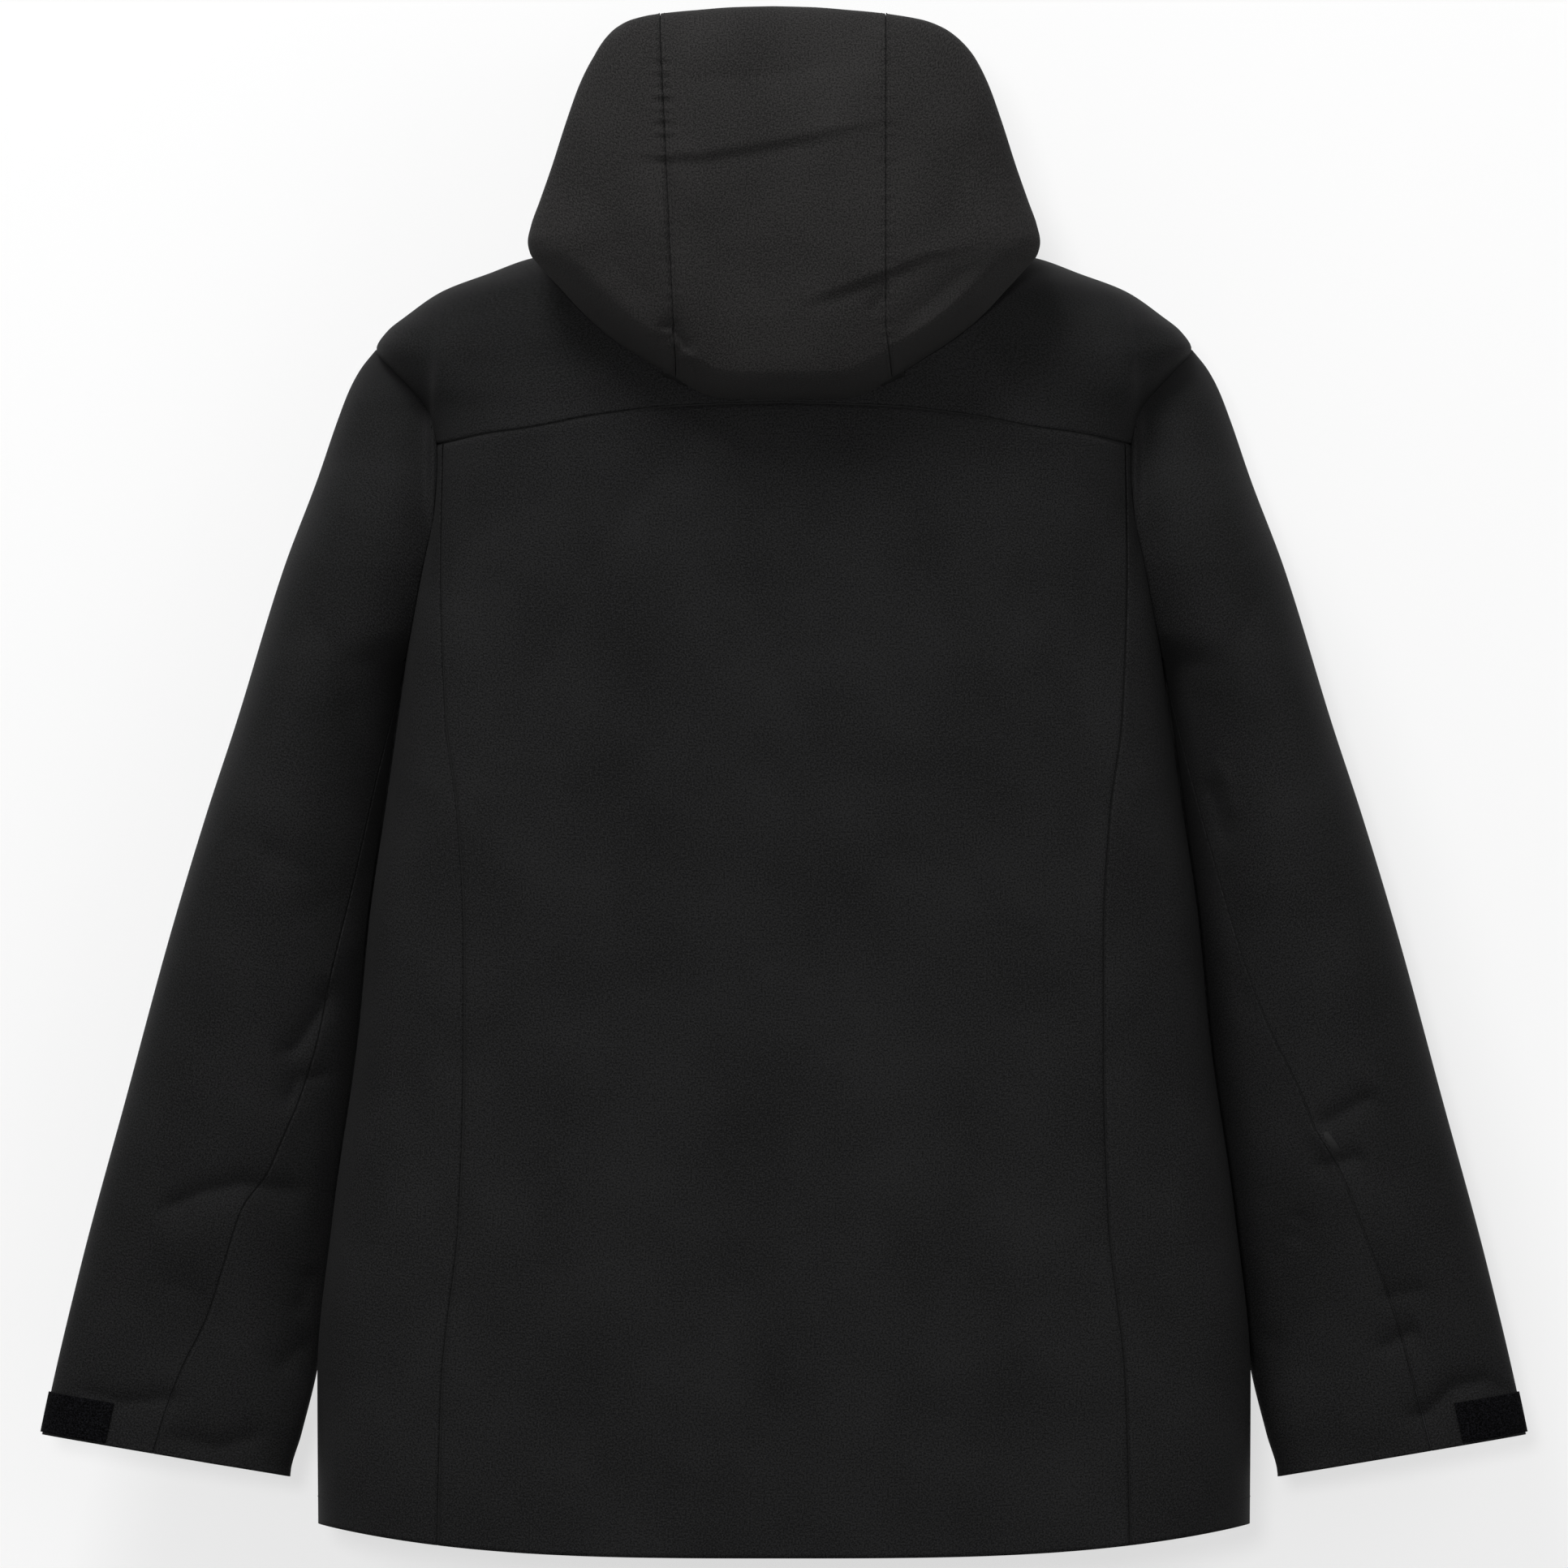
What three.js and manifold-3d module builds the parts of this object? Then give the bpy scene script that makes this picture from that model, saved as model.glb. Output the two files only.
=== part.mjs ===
// A men's hooded hardshell jacket, hung up by its neck loop and filled out as on a wearer.
// Millimetres. +Z is up, +Y is the way the wearer faces, +X is the wearer's right.
// The origin is where the loop bears on a hook, inside the back of the neck.
import * as THREE from "three";
import { mergeVertices } from "three/addons/utils/BufferGeometryUtils.js";
import Module from "manifold-3d";

const wasm = await Module();
wasm.setup();

// ---- Driving dimensions ----
const CLOTH = 2.4; // three-layer shell cloth with its seam tape and lining drape
const SEAM_GAP = 0.4; // between two pieces sewn edge to edge
const SEAT_GAP = 0.3; // between a piece and the face that it rests on

// Body: half-widths and depths at named heights
const HEM_Z = -762; // at the middle of the back
const HEM_SIDE_RISE = 18;
const HEM_HALF_WIDTH = 275;
const WAIST_Z = -456;
const WAIST_HALF_WIDTH = 252;
const CHEST_Z = -266;
const CHEST_HALF_WIDTH = 228;
const ARMHOLE_HALF_WIDTH = 207; // the narrowest place, between the two armholes
const ARMHOLE_Z = -108;
const SHOULDER_Z = -48; // the end of the shoulder seam, where the sleeve is set in
const SHOULDER_HALF_WIDTH = 241;
const NECK_Z = 12;
const NECK_HALF_WIDTH = 88;
const COLLAR_HEIGHT = 48;
const MIDDLE_Y = 60; // the plane of the side seams
const BACK_DEPTH = 93; // from the side seams to the middle of the back
const NECK_BACK_DEPTH = 62;
const FRONT_DEPTH = 95.5; // from the side seams to the front zip, at the hem
const ZIP_LEAN = 0.0335; // how far the straight front zip leans back for each mm of height
const BACK_FLATNESS = 3; // superellipse exponents of a level section
const FRONT_FLATNESS = 2.4;

// Seams of the body
const YOKE_MIDDLE_Z = -82;
const YOKE_SIDE_Z = -106;
const BACK_SEAM_X = 200; // of the two long back seams
const SIDE_SEAM_Y = 96; // between side panel and front panel
const SHOULDER_SEAM_Y = 62; // between the back yoke and the front yokes

// Sleeves
const UNDERARM_Z = -236;
const SLEEVE_Y = 70;
const CUFF_INNER = [HEM_HALF_WIDTH + 17, -715]; // the cuffs hang clear of the hem
const CUFF_OUTER = [CUFF_INNER[0] + 147, -690];
const SLEEVE_TOP_DEPTH = 62;
const CUFF_DEPTH = 27;
const SLEEVE_BODY_GAP = 3;
const SLEEVE_SWING_GAP = 1;

// Hood
const HOOD_TOP_Z = 153;
const HOOD_HALF_WIDTH = 151;
const HOOD_FALL_Z = -79; // how low the slack of the hood hangs down the back
const HOOD_BACK_Y = -92;
const HOOD_RIM_Y = -58; // where the back of the hood turns into its sides
const HOOD_FACE_Y = 124; // at the crown
const HOOD_FACE_SLOPE = 0.24;
const HOOD_SEAM_X = 64;
const HOOD_NECK_Z = 13;
const BRIM_WIDTH = 128;
const BRIM_LENGTH = 34;
const BRIM_THICKNESS = 3;

// Front zip
const ZIP_SLOT = 14; // between the two front edges
const TAPE_WIDTH = 15;
const TAPE_THICKNESS = 0.9;
const COIL_WIDTH = 2.2;
const COIL_HEIGHT = 2;
const COIL_SPLIT = 1.6; // between the two coils, for the slider's post
const SLIDER = { width: 10, length: 17, plate: 1.4 };
const PULLER = { width: 5, length: 32, thickness: 1.6 };

// Hand pockets
const POCKET_TOP = [150, -405];
const POCKET_BOTTOM = [184, -588];
const POCKET_SLOT = 11;
const POCKET_BAG = { width: 140, height: 215 };

// Cuff tab
const TAB_HEIGHT = 27;
const TAB_ROOT_X = CUFF_INNER[0] + 60;
const PATCH_INNER_X = CUFF_OUTER[0] - 39; // the loop patch wraps the outer edge of the cuff from here

const LOW_Z = HEM_Z - 200; // below everything, where a cut may end

// ---- Shapes ----

// A smooth line through (place, value) stations, in rising order of place.
function through(...stations) {
  const places = stations.map((s) => s[0]);
  const curve = new THREE.CubicInterpolant(
    new Float32Array(places),
    new Float32Array(stations.map((s) => s[1])),
    1,
  );
  return (place) => curve.evaluate(THREE.MathUtils.clamp(place, places[0], places.at(-1)))[0];
}

function solidOf(geometry) {
  const bare = geometry.clone();
  bare.deleteAttribute("normal");
  bare.deleteAttribute("uv");
  const merged = mergeVertices(bare, 1e-3);
  const make = (triVerts) =>
    new wasm.Manifold(
      new wasm.Mesh({
        numProp: 3,
        vertProperties: merged.attributes.position.array,
        triVerts: new Uint32Array(triVerts),
      }),
    );
  const faces = Array.from(merged.index.array);
  const made = make(faces);
  return made.volume() < 0 ? make(faces.reverse()) : made;
}

function geometryOf(solid) {
  const mesh = solid.getMesh();
  const geometry = new THREE.BufferGeometry();
  geometry.setAttribute("position", new THREE.BufferAttribute(mesh.vertProperties, 3));
  geometry.setIndex(new THREE.BufferAttribute(mesh.triVerts, 1));
  return geometry;
}

// A closed solid through rings of points, each with the same count, capped flat at both ends.
function loft(rings) {
  const around = rings[0].length;
  const points = rings.flat();
  const faces = [];
  for (let j = 0; j + 1 < rings.length; j++)
    for (let i = 0; i < around; i++) {
      const a = j * around + i;
      const b = j * around + ((i + 1) % around);
      faces.push(a, b, b + around, a, b + around, a + around);
    }
  for (const [ring, base] of [[rings[0], 0], [rings.at(-1), (rings.length - 1) * around]]) {
    const hub = points.length;
    points.push(ring.reduce((sum, p) => sum.add(p), new THREE.Vector3()).divideScalar(around));
    for (let i = 0; i < around; i++) {
      const [a, b] = [base + i, base + ((i + 1) % around)];
      faces.push(...(base === 0 ? [hub, b, a] : [hub, a, b]));
    }
  }
  const geometry = new THREE.BufferGeometry().setFromPoints(points);
  geometry.setIndex(faces);
  return solidOf(geometry);
}

function boxSolid(low, high) {
  const size = high.map((h, i) => h - low[i]);
  const box = new THREE.BoxGeometry(...size);
  box.translate(...low.map((l, i) => l + size[i] / 2));
  return solidOf(box);
}

// A solid of an outline drawn in X and Z, as the jacket is seen from behind, from one Y to another.
function seenFromBehind(outline, fromY = -400, toY = 400) {
  const flat = new THREE.ExtrudeGeometry(outline, {
    depth: toY - fromY,
    bevelEnabled: false,
    curveSegments: 10,
  });
  flat.rotateX(Math.PI / 2); // the outline's Y becomes Z, and the depth runs towards -Y
  flat.translate(0, toY, 0);
  return solidOf(flat);
}

// A solid of an outline drawn in Y and Z, as seen from the side, from one X to another.
function seenFromSide(points, fromX, toX) {
  const flat = new THREE.ExtrudeGeometry(outlineOf(points), { depth: toX - fromX, bevelEnabled: false });
  flat.rotateX(Math.PI / 2);
  flat.rotateZ(Math.PI / 2);
  flat.translate(fromX, 0, 0);
  return solidOf(flat);
}

function outlineOf(points) {
  return new THREE.Shape(points.map(([x, z]) => new THREE.Vector2(x, z)));
}

function mirrored(solid) {
  return solidOf(geometryOf(solid).scale(-1, 1, 1));
}

// ---- The forms that the cloth takes, each as a closed solid that can be drawn in or let out ----

const bodyHalfWidth = through(
  [HEM_Z - 4, HEM_HALF_WIDTH],
  [-656, HEM_HALF_WIDTH + 1],
  [WAIST_Z, WAIST_HALF_WIDTH],
  [CHEST_Z, CHEST_HALF_WIDTH],
  [ARMHOLE_Z - 30, ARMHOLE_HALF_WIDTH + 1],
  [ARMHOLE_Z + 20, ARMHOLE_HALF_WIDTH + 3],
);
const shoulderHalfWidth = through(
  [ARMHOLE_Z + 20, ARMHOLE_HALF_WIDTH + 3],
  [SHOULDER_Z - 12, SHOULDER_HALF_WIDTH - 7],
  [SHOULDER_Z, SHOULDER_HALF_WIDTH],
  [SHOULDER_Z + 19, SHOULDER_HALF_WIDTH - 17],
  [SHOULDER_Z + 34, SHOULDER_HALF_WIDTH - 39],
  [NECK_Z - 16, SHOULDER_HALF_WIDTH - 65],
  [NECK_Z - 6, 147],
  [NECK_Z, NECK_HALF_WIDTH + 6],
);
const backDepth = through(
  [HEM_Z - 4, BACK_DEPTH],
  [WAIST_Z, BACK_DEPTH - 3],
  [CHEST_Z + 40, BACK_DEPTH + 3],
  [ARMHOLE_Z, BACK_DEPTH + 1],
  [SHOULDER_Z, BACK_DEPTH - 8],
  [NECK_Z - 8, NECK_BACK_DEPTH + 10],
  [NECK_Z + 4, NECK_BACK_DEPTH],
  [NECK_Z + COLLAR_HEIGHT, NECK_BACK_DEPTH - 4],
);
const frontY = (z) => MIDDLE_Y + FRONT_DEPTH - ZIP_LEAN * (z - HEM_Z);

function bodyRing(z, letOut) {
  const half = z <= ARMHOLE_Z + 20 ? bodyHalfWidth(z) : z < NECK_Z ? shoulderHalfWidth(z) : NECK_HALF_WIDTH;
  const a = half + letOut;
  const back = backDepth(z) + letOut;
  const front = frontY(z) - MIDDLE_Y + letOut;
  return Array.from({ length: 40 }, (_, i) => {
    const turn = (i / 40) * 2 * Math.PI;
    const [s, c] = [Math.sin(turn), Math.cos(turn)];
    const power = 2 / (c > 0 ? BACK_FLATNESS : FRONT_FLATNESS);
    const x = a * Math.sign(s) * Math.abs(s) ** power;
    const depth = Math.abs(c) ** power;
    return new THREE.Vector3(x, MIDDLE_Y + (c > 0 ? -back : front) * depth, z);
  });
}

// The roof of the shoulders moves along Z as well, or letting it out would leave its thickness behind.
function bodyForm(letOut, extra = 0) {
  const heights = [
    HEM_Z - 4 - extra, -700, -620, -540, WAIST_Z, -360, CHEST_Z, -190, ARMHOLE_Z - 30, ARMHOLE_Z + 20,
    SHOULDER_Z - 12, SHOULDER_Z, SHOULDER_Z + 19, SHOULDER_Z + 34, NECK_Z - 16, NECK_Z - 6, NECK_Z,
    NECK_Z + COLLAR_HEIGHT + extra,
  ];
  return loft(
    heights.map((z) => {
      const roof = z > SHOULDER_Z && z <= NECK_Z;
      return bodyRing(z, letOut).map((p) => (roof ? p.setZ(p.z + letOut) : p));
    }),
  );
}

const sleeveOuterX = through(
  [CUFF_INNER[1] - 8, CUFF_OUTER[0] + 5.5],
  [CUFF_OUTER[1], CUFF_OUTER[0]],
  [-590, 416],
  [-490, 389],
  [-394, 363],
  [-269, 324],
  [-178, 296],
  [-125, 276],
  [-72, 255],
  [SHOULDER_Z - SLEEVE_SWING_GAP, 242],
);
const sleeveInnerX = through(
  [CUFF_INNER[1] - 8, CUFF_INNER[0] - 2],
  [-656, HEM_HALF_WIDTH + 1 + SLEEVE_BODY_GAP],
  [-590, 271 + SLEEVE_BODY_GAP],
  [-490, 256 + SLEEVE_BODY_GAP],
  [-394, 245.5 + SLEEVE_BODY_GAP],
  [-300, 233.5 + SLEEVE_BODY_GAP],
  [UNDERARM_Z, CHEST_HALF_WIDTH - 2 + SLEEVE_BODY_GAP],
  [UNDERARM_Z + 22, 196],
  [-150, 178],
  [SHOULDER_Z - SLEEVE_SWING_GAP, 190],
);
const sleeveDepth = through(
  [CUFF_INNER[1] - 8, CUFF_DEPTH],
  [-600, CUFF_DEPTH + 11],
  [-450, 52],
  [CHEST_Z, SLEEVE_TOP_DEPTH + 1],
  [-150, SLEEVE_TOP_DEPTH],
  [-80, SLEEVE_TOP_DEPTH - 18],
  [SHOULDER_Z - SLEEVE_SWING_GAP, 18],
);

function sleeveForm(letOut, extra = 0) {
  const heights = [
    CUFF_INNER[1] - 8, -690, -640, -590, -540, -490, -430, -360, -300, -262, UNDERARM_Z, UNDERARM_Z + 22,
    -178, -125, -90, -65, SHOULDER_Z - SLEEVE_SWING_GAP,
  ];
  const rings = heights.map((z, j) => {
    const inner = sleeveInnerX(z);
    const outer = sleeveOuterX(z);
    const a = (outer - inner) / 2 + letOut;
    const b = sleeveDepth(z) + letOut;
    const end = j === 0 ? -extra : j === heights.length - 1 ? letOut : 0;
    return Array.from({ length: 24 }, (_, i) => {
      const turn = (i / 24) * 2 * Math.PI;
      return new THREE.Vector3((inner + outer) / 2 + a * Math.sin(turn), SLEEVE_Y - b * Math.cos(turn), z + end);
    });
  });
  return loft(rings);
}

// The hood seen from behind, from its top round one side to its lowest fall.
const hoodSide = new THREE.SplineCurve(
  [
    [0, HOOD_TOP_Z], [42, 150.5], [80, 146], [103, 135], [120, 108], [137, 60], [147, 28],
    [HOOD_HALF_WIDTH, 12], [145, 1], [132, -14], [111, -36], [84, -56], [58, -71], [30, HOOD_FALL_Z + 1],
    [0, HOOD_FALL_Z],
  ].map(([x, z]) => new THREE.Vector2(x, z)),
);

function hoodForm(letOut, extra = 0) {
  const half = 16;
  const side = hoodSide.getPoints(half);
  const outline = [...side, ...side.slice(1, half).reverse().map((p) => new THREE.Vector2(-p.x, p.y))];
  const centre = new THREE.Vector2(0, 40);
  const floorSlope = (centre.y - HOOD_NECK_Z + letOut) / (centre.y - HOOD_FALL_Z + letOut);
  const ring = (share, y, lift) =>
    outline.map((p) => {
      const out = p.clone().sub(centre);
      const reach = out.length();
      out.multiplyScalar((share * (reach + letOut)) / reach);
      const rise = out.y < 0 ? THREE.MathUtils.lerp(out.y, out.y * floorSlope, lift) : out.y;
      return new THREE.Vector3(out.x, y, centre.y + rise);
    });
  const cap = [0.25, 0.6, 0.85, 0.97].map((share) =>
    ring(share, HOOD_RIM_Y - (HOOD_RIM_Y - HOOD_BACK_Y + letOut) * Math.sqrt(1 - share ** 2.2), 0),
  );
  const sides = [
    [1, HOOD_RIM_Y, 0], [1, -36, 0.62], [1, -14, 0.93], [0.995, 30, 1], [0.97, 80, 1],
    [0.9, HOOD_FACE_Y, 1], [0.9, HOOD_FACE_Y + 1 + extra, 1],
  ].map(([share, y, lift]) => ring(share, y, lift));
  return loft([...cap, ...sides]);
}

// ---- Materials ----

const finish = (color, roughness, metalness = 0) =>
  new THREE.MeshStandardMaterial({ color, roughness, metalness });
const shellCloth = finish(0x1c1c1c, 0.78);
const hoodCloth = finish(0x242323, 0.78);
const loopPile = finish(0x08080d, 0.98);
const hookTape = finish(0x0b0b0c, 0.9);
const zipTape = finish(0x141414, 0.7);
const zipCoil = finish(0x101010, 0.4);
const zipMetal = finish(0x1a1a1b, 0.35, 0.7);
const cordRubber = finish(0x121212, 0.6);
const lining = finish(0x2a2a2c, 0.85);

const jacket = new THREE.Group();

function add(name, solid, material, parent = jacket) {
  const mesh = new THREE.Mesh(geometryOf(solid), material);
  mesh.name = name;
  parent.add(mesh);
  return mesh;
}

// ---- Body ----

const bodyOuter = bodyForm(0);
const sleeveInside = sleeveForm(-CLOTH, 20);
const cuffCut = seenFromBehind(
  outlineOf([
    [CUFF_OUTER[0] + 147, CUFF_OUTER[1] + 25], [CUFF_INNER[0] - 147, CUFF_INNER[1] - 25],
    [CUFF_INNER[0] - 147, LOW_Z], [CUFF_OUTER[0] + 147, LOW_Z],
  ]),
);
const hemOutline = new THREE.Shape();
hemOutline.moveTo(-330, HEM_Z + HEM_SIDE_RISE + 8);
hemOutline.quadraticCurveTo(0, HEM_Z - HEM_SIDE_RISE - 8, 330, HEM_Z + HEM_SIDE_RISE + 8);
hemOutline.lineTo(330, HEM_Z - 200);
hemOutline.lineTo(-330, HEM_Z - 200);
const hemCut = seenFromBehind(hemOutline);
const zipSlot = boxSolid([-ZIP_SLOT / 2, MIDDLE_Y, LOW_Z], [ZIP_SLOT / 2, 300, 200]);

const bodyShell = bodyOuter
  .subtract(bodyForm(-CLOTH, 20))
  .subtract(sleeveInside)
  .subtract(mirrored(sleeveInside))
  .subtract(hemCut)
  .subtract(zipSlot);

const yokeSeam = (x) =>
  THREE.MathUtils.lerp(YOKE_MIDDLE_Z, YOKE_SIDE_Z, THREE.MathUtils.smoothstep(Math.abs(x), 40, 230));
const yokeLine = [-300, -200, -150, -100, -60, 60, 100, 150, 200, 300].map((x) => [x, yokeSeam(x)]);
const lower = (gap) => yokeLine.map(([x, z]) => [x, z - gap]);
const aboveYoke = seenFromBehind(outlineOf([...lower(0), [300, NECK_Z - 0.5], [-300, NECK_Z - 0.5]]));
const belowYoke = seenFromBehind(outlineOf([...lower(SEAM_GAP), [300, LOW_Z], [-300, LOW_Z]]));

const backPart = boxSolid([-BACK_SEAM_X, -200, LOW_Z], [BACK_SEAM_X, MIDDLE_Y - 40, 0]);
const sideLow = boxSolid([BACK_SEAM_X + SEAM_GAP, -200, LOW_Z], [400, SIDE_SEAM_Y - 20, 0]);
const sidePart = sideLow.add(boxSolid([BACK_SEAM_X + 6, 0, LOW_Z], [400, SIDE_SEAM_Y, 0]));
const frontPart = boxSolid([ZIP_SLOT / 2 - 1, MIDDLE_Y - 20, LOW_Z], [400, 300, 0]).subtract(
  boxSolid([BACK_SEAM_X - 40, -200, LOW_Z - 1], [401, SIDE_SEAM_Y + SEAM_GAP, 1]),
);
const lowerBody = bodyShell.intersect(belowYoke);

// A hand pocket's zip lies in a straight slot of the front panel.
function onFront([x, z]) {
  const spread = (x / bodyHalfWidth(z)) ** FRONT_FLATNESS;
  return new THREE.Vector3(x, MIDDLE_Y + (frontY(z) - MIDDLE_Y) * (1 - spread) ** (1 / FRONT_FLATNESS), z);
}
const pocketTop = onFront(POCKET_TOP);
const pocketBottom = onFront(POCKET_BOTTOM);
const pocketAlong = pocketTop.clone().sub(pocketBottom).normalize();
const pocketSideways = onFront([POCKET_TOP[0] + 8, POCKET_TOP[1]]).sub(onFront([POCKET_TOP[0] - 8, POCKET_TOP[1]]));
const pocketOut = pocketAlong.clone().cross(pocketSideways).normalize();
const pocketLength = pocketTop.distanceTo(pocketBottom);
const pocketAcross = pocketOut.clone().cross(pocketAlong);
const pocketFrame = new THREE.Matrix4()
  .makeBasis(pocketAcross, pocketOut, pocketAlong)
  .setPosition(pocketTop.clone().add(pocketBottom).multiplyScalar(0.5));
const inPocket = (solid) => solidOf(geometryOf(solid).applyMatrix4(pocketFrame));
const pocketSlot = inPocket(
  boxSolid([-POCKET_SLOT / 2, -9, -pocketLength / 2], [POCKET_SLOT / 2, 9, pocketLength / 2]),
);

const panels = {
  side_panel: lowerBody.intersect(sidePart),
  front_panel: lowerBody.intersect(frontPart).subtract(pocketSlot),
};
add("back_panel", lowerBody.intersect(backPart), shellCloth);
for (const [name, solid] of Object.entries(panels)) {
  add(name + "_right", solid, shellCloth);
  add(name + "_left", mirrored(solid), shellCloth);
}
const yoke = bodyShell.intersect(aboveYoke);
const frontYoke = yoke.intersect(boxSolid([0, SHOULDER_SEAM_Y + SEAM_GAP, -300], [400, 400, 100]));
add("back_yoke", yoke.intersect(boxSolid([-400, -400, -300], [400, SHOULDER_SEAM_Y, 100])), shellCloth);
add("front_yoke_right", frontYoke, shellCloth);
add("front_yoke_left", mirrored(frontYoke), shellCloth);
add(
  "collar",
  bodyShell.intersect(boxSolid([-200, -200, NECK_Z - 0.1], [200, 300, NECK_Z + COLLAR_HEIGHT])),
  shellCloth,
);

// A layer of cloth between two let-outs of the same form.
const layer = (form, outside, inside) => form(outside).subtract(form(inside, 30));

// A strip along the hem, from the cut edge up to a height above it.
function hemStrip(height) {
  const strip = new THREE.Shape();
  strip.moveTo(-330, HEM_Z + HEM_SIDE_RISE + 8);
  strip.quadraticCurveTo(0, HEM_Z - HEM_SIDE_RISE - 8, 330, HEM_Z + HEM_SIDE_RISE + 8);
  strip.lineTo(330, HEM_Z + HEM_SIDE_RISE + 8 + height);
  strip.quadraticCurveTo(0, HEM_Z - HEM_SIDE_RISE - 8 + height, -330, HEM_Z + HEM_SIDE_RISE + 8 + height);
  return seenFromBehind(strip);
}
const HEM_FACING = { height: 32, cloth: 1.3 };
add(
  "hem_facing",
  layer(bodyForm, -CLOTH - SEAT_GAP, -CLOTH - SEAT_GAP - HEM_FACING.cloth)
    .intersect(hemStrip(HEM_FACING.height))
    .subtract(boxSolid([-16, MIDDLE_Y, LOW_Z], [16, 300, 0])),
  lining,
);

// An eyelet in the hem facing on each side, where the hem cord comes out.
const EYELET = { hole: 2.2, rim: 4.6, thickness: 1.6 };
function eyelet() {
  const half = EYELET.thickness / 2;
  const section = [[EYELET.hole, -half], [EYELET.rim, -half], [EYELET.rim, half], [EYELET.hole, half], [EYELET.hole, -half]];
  const ring = new THREE.LatheGeometry(section.map(([x, y]) => new THREE.Vector2(x, y)), 16);
  ring.rotateZ(Math.PI / 2);
  return solidOf(ring);
}
for (const [side, sign] of [["right", 1], ["left", -1]]) {
  const inside = HEM_HALF_WIDTH - CLOTH - SEAT_GAP * 2 - HEM_FACING.cloth - EYELET.thickness / 2;
  add("hem_eyelet_" + side, eyelet(), zipMetal).position.set(sign * inside, MIDDLE_Y, HEM_Z + HEM_SIDE_RISE + 14);
}

// Hand pocket bags hang inside the front panels, sewn along their tops.
const BAG_LINING = 1.2;
const BAG_DROP = 5; // below the panel, clear of the slider's back plate
const bagBox = (top, bottom) => boxSolid([62, MIDDLE_Y + 25, bottom], [62 + POCKET_BAG.width, 300, top]);
const bagTop = POCKET_TOP[1] + 12;
const pocketBag = layer(bodyForm, -BAG_DROP, -BAG_DROP - BAG_LINING)
  .intersect(bagBox(bagTop, bagTop - POCKET_BAG.height))
  .add(layer(bodyForm, -CLOTH - SEAT_GAP, -BAG_DROP - BAG_LINING).intersect(bagBox(bagTop, bagTop - 8)));
add("pocket_bag_right", pocketBag, lining);
add("pocket_bag_left", mirrored(pocketBag), lining);

// The neck loop: a strap across two legs that are sewn to the inside of the yoke.
const LOOP = { span: 40, width: 6, strap: 1.6, drop: 24 };
const legSide = [
  [-LOOP.width / 2, LOOP.strap], [LOOP.width / 2, LOOP.strap], [LOOP.width / 2, -2], [-12, -LOOP.drop],
  [-40, -LOOP.drop],
];
const loopLeg = (fromX) => seenFromSide(legSide, fromX, fromX + LOOP.strap);
const strap = boxSolid(
  [-LOOP.span / 2 - LOOP.strap, -LOOP.width / 2, 0],
  [LOOP.span / 2 + LOOP.strap, LOOP.width / 2, LOOP.strap],
);
add(
  "neck_loop",
  strap
    .add(loopLeg(LOOP.span / 2))
    .add(loopLeg(-LOOP.span / 2 - LOOP.strap))
    .intersect(bodyForm(-CLOTH - SEAT_GAP)),
  zipTape,
);

// ---- Hood ----

// The edge of the face opening leans back from the crown to the collar.
const faceY = (z) => HOOD_FACE_Y - (HOOD_TOP_Z - z) * HOOD_FACE_SLOPE;
function behindFace(setBack) {
  const [top, bottom] = [HOOD_TOP_Z + 10, -100].map((z) => [faceY(z) - setBack, z]);
  return seenFromSide([top, bottom, [-300, -100], [-300, HOOD_TOP_Z + 10]], -300, 300);
}
const hoodShell = layer(hoodForm, 0, -CLOTH).intersect(behindFace(0)).subtract(bodyForm(0.6));
const seamBox = (fromX, toX) => boxSolid([fromX, -300, -300], [toX, 300, 300]);
const hoodSidePanel = hoodShell.intersect(seamBox(HOOD_SEAM_X + SEAM_GAP, 300));
add("hood_centre_panel", hoodShell.intersect(seamBox(-HOOD_SEAM_X, HOOD_SEAM_X)), hoodCloth);
add("hood_side_panel_right", hoodSidePanel, hoodCloth);
add("hood_side_panel_left", mirrored(hoodSidePanel), hoodCloth);
const FACE_HEM = { width: 22, cloth: 1.2 };
add(
  "hood_face_facing",
  layer(hoodForm, -CLOTH - SEAT_GAP, -CLOTH - SEAT_GAP - FACE_HEM.cloth)
    .intersect(behindFace(0).subtract(behindFace(FACE_HEM.width)))
    .subtract(bodyForm(0.6)),
  lining,
);

const BRIM_DIP = THREE.MathUtils.degToRad(12);
const BRIM_EDGE_Z = HOOD_TOP_Z - 13; // the sewn edge, which it flips up about
const brimPlan = new THREE.Shape();
brimPlan.moveTo(-BRIM_WIDTH / 2, 0);
brimPlan.lineTo(BRIM_WIDTH / 2, 0);
brimPlan.bezierCurveTo(BRIM_WIDTH / 2 - 6, BRIM_LENGTH, 30, BRIM_LENGTH, 0, BRIM_LENGTH);
brimPlan.bezierCurveTo(-30, BRIM_LENGTH, 6 - BRIM_WIDTH / 2, BRIM_LENGTH, -BRIM_WIDTH / 2, 0);
const brimShape = new THREE.ExtrudeGeometry(brimPlan, {
  depth: BRIM_THICKNESS,
  bevelEnabled: false,
  curveSegments: 8,
});
brimShape.translate(0, 0, -BRIM_THICKNESS);
const brim = add("hood_brim", solidOf(brimShape), hoodCloth);
brim.position.set(0, faceY(BRIM_EDGE_Z + 2) + SEAT_GAP, BRIM_EDGE_Z);
brim.rotation.x = -BRIM_DIP;

// ---- Front zip: everything in one frame, Z up the zip and Y out of the chest ----

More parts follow.
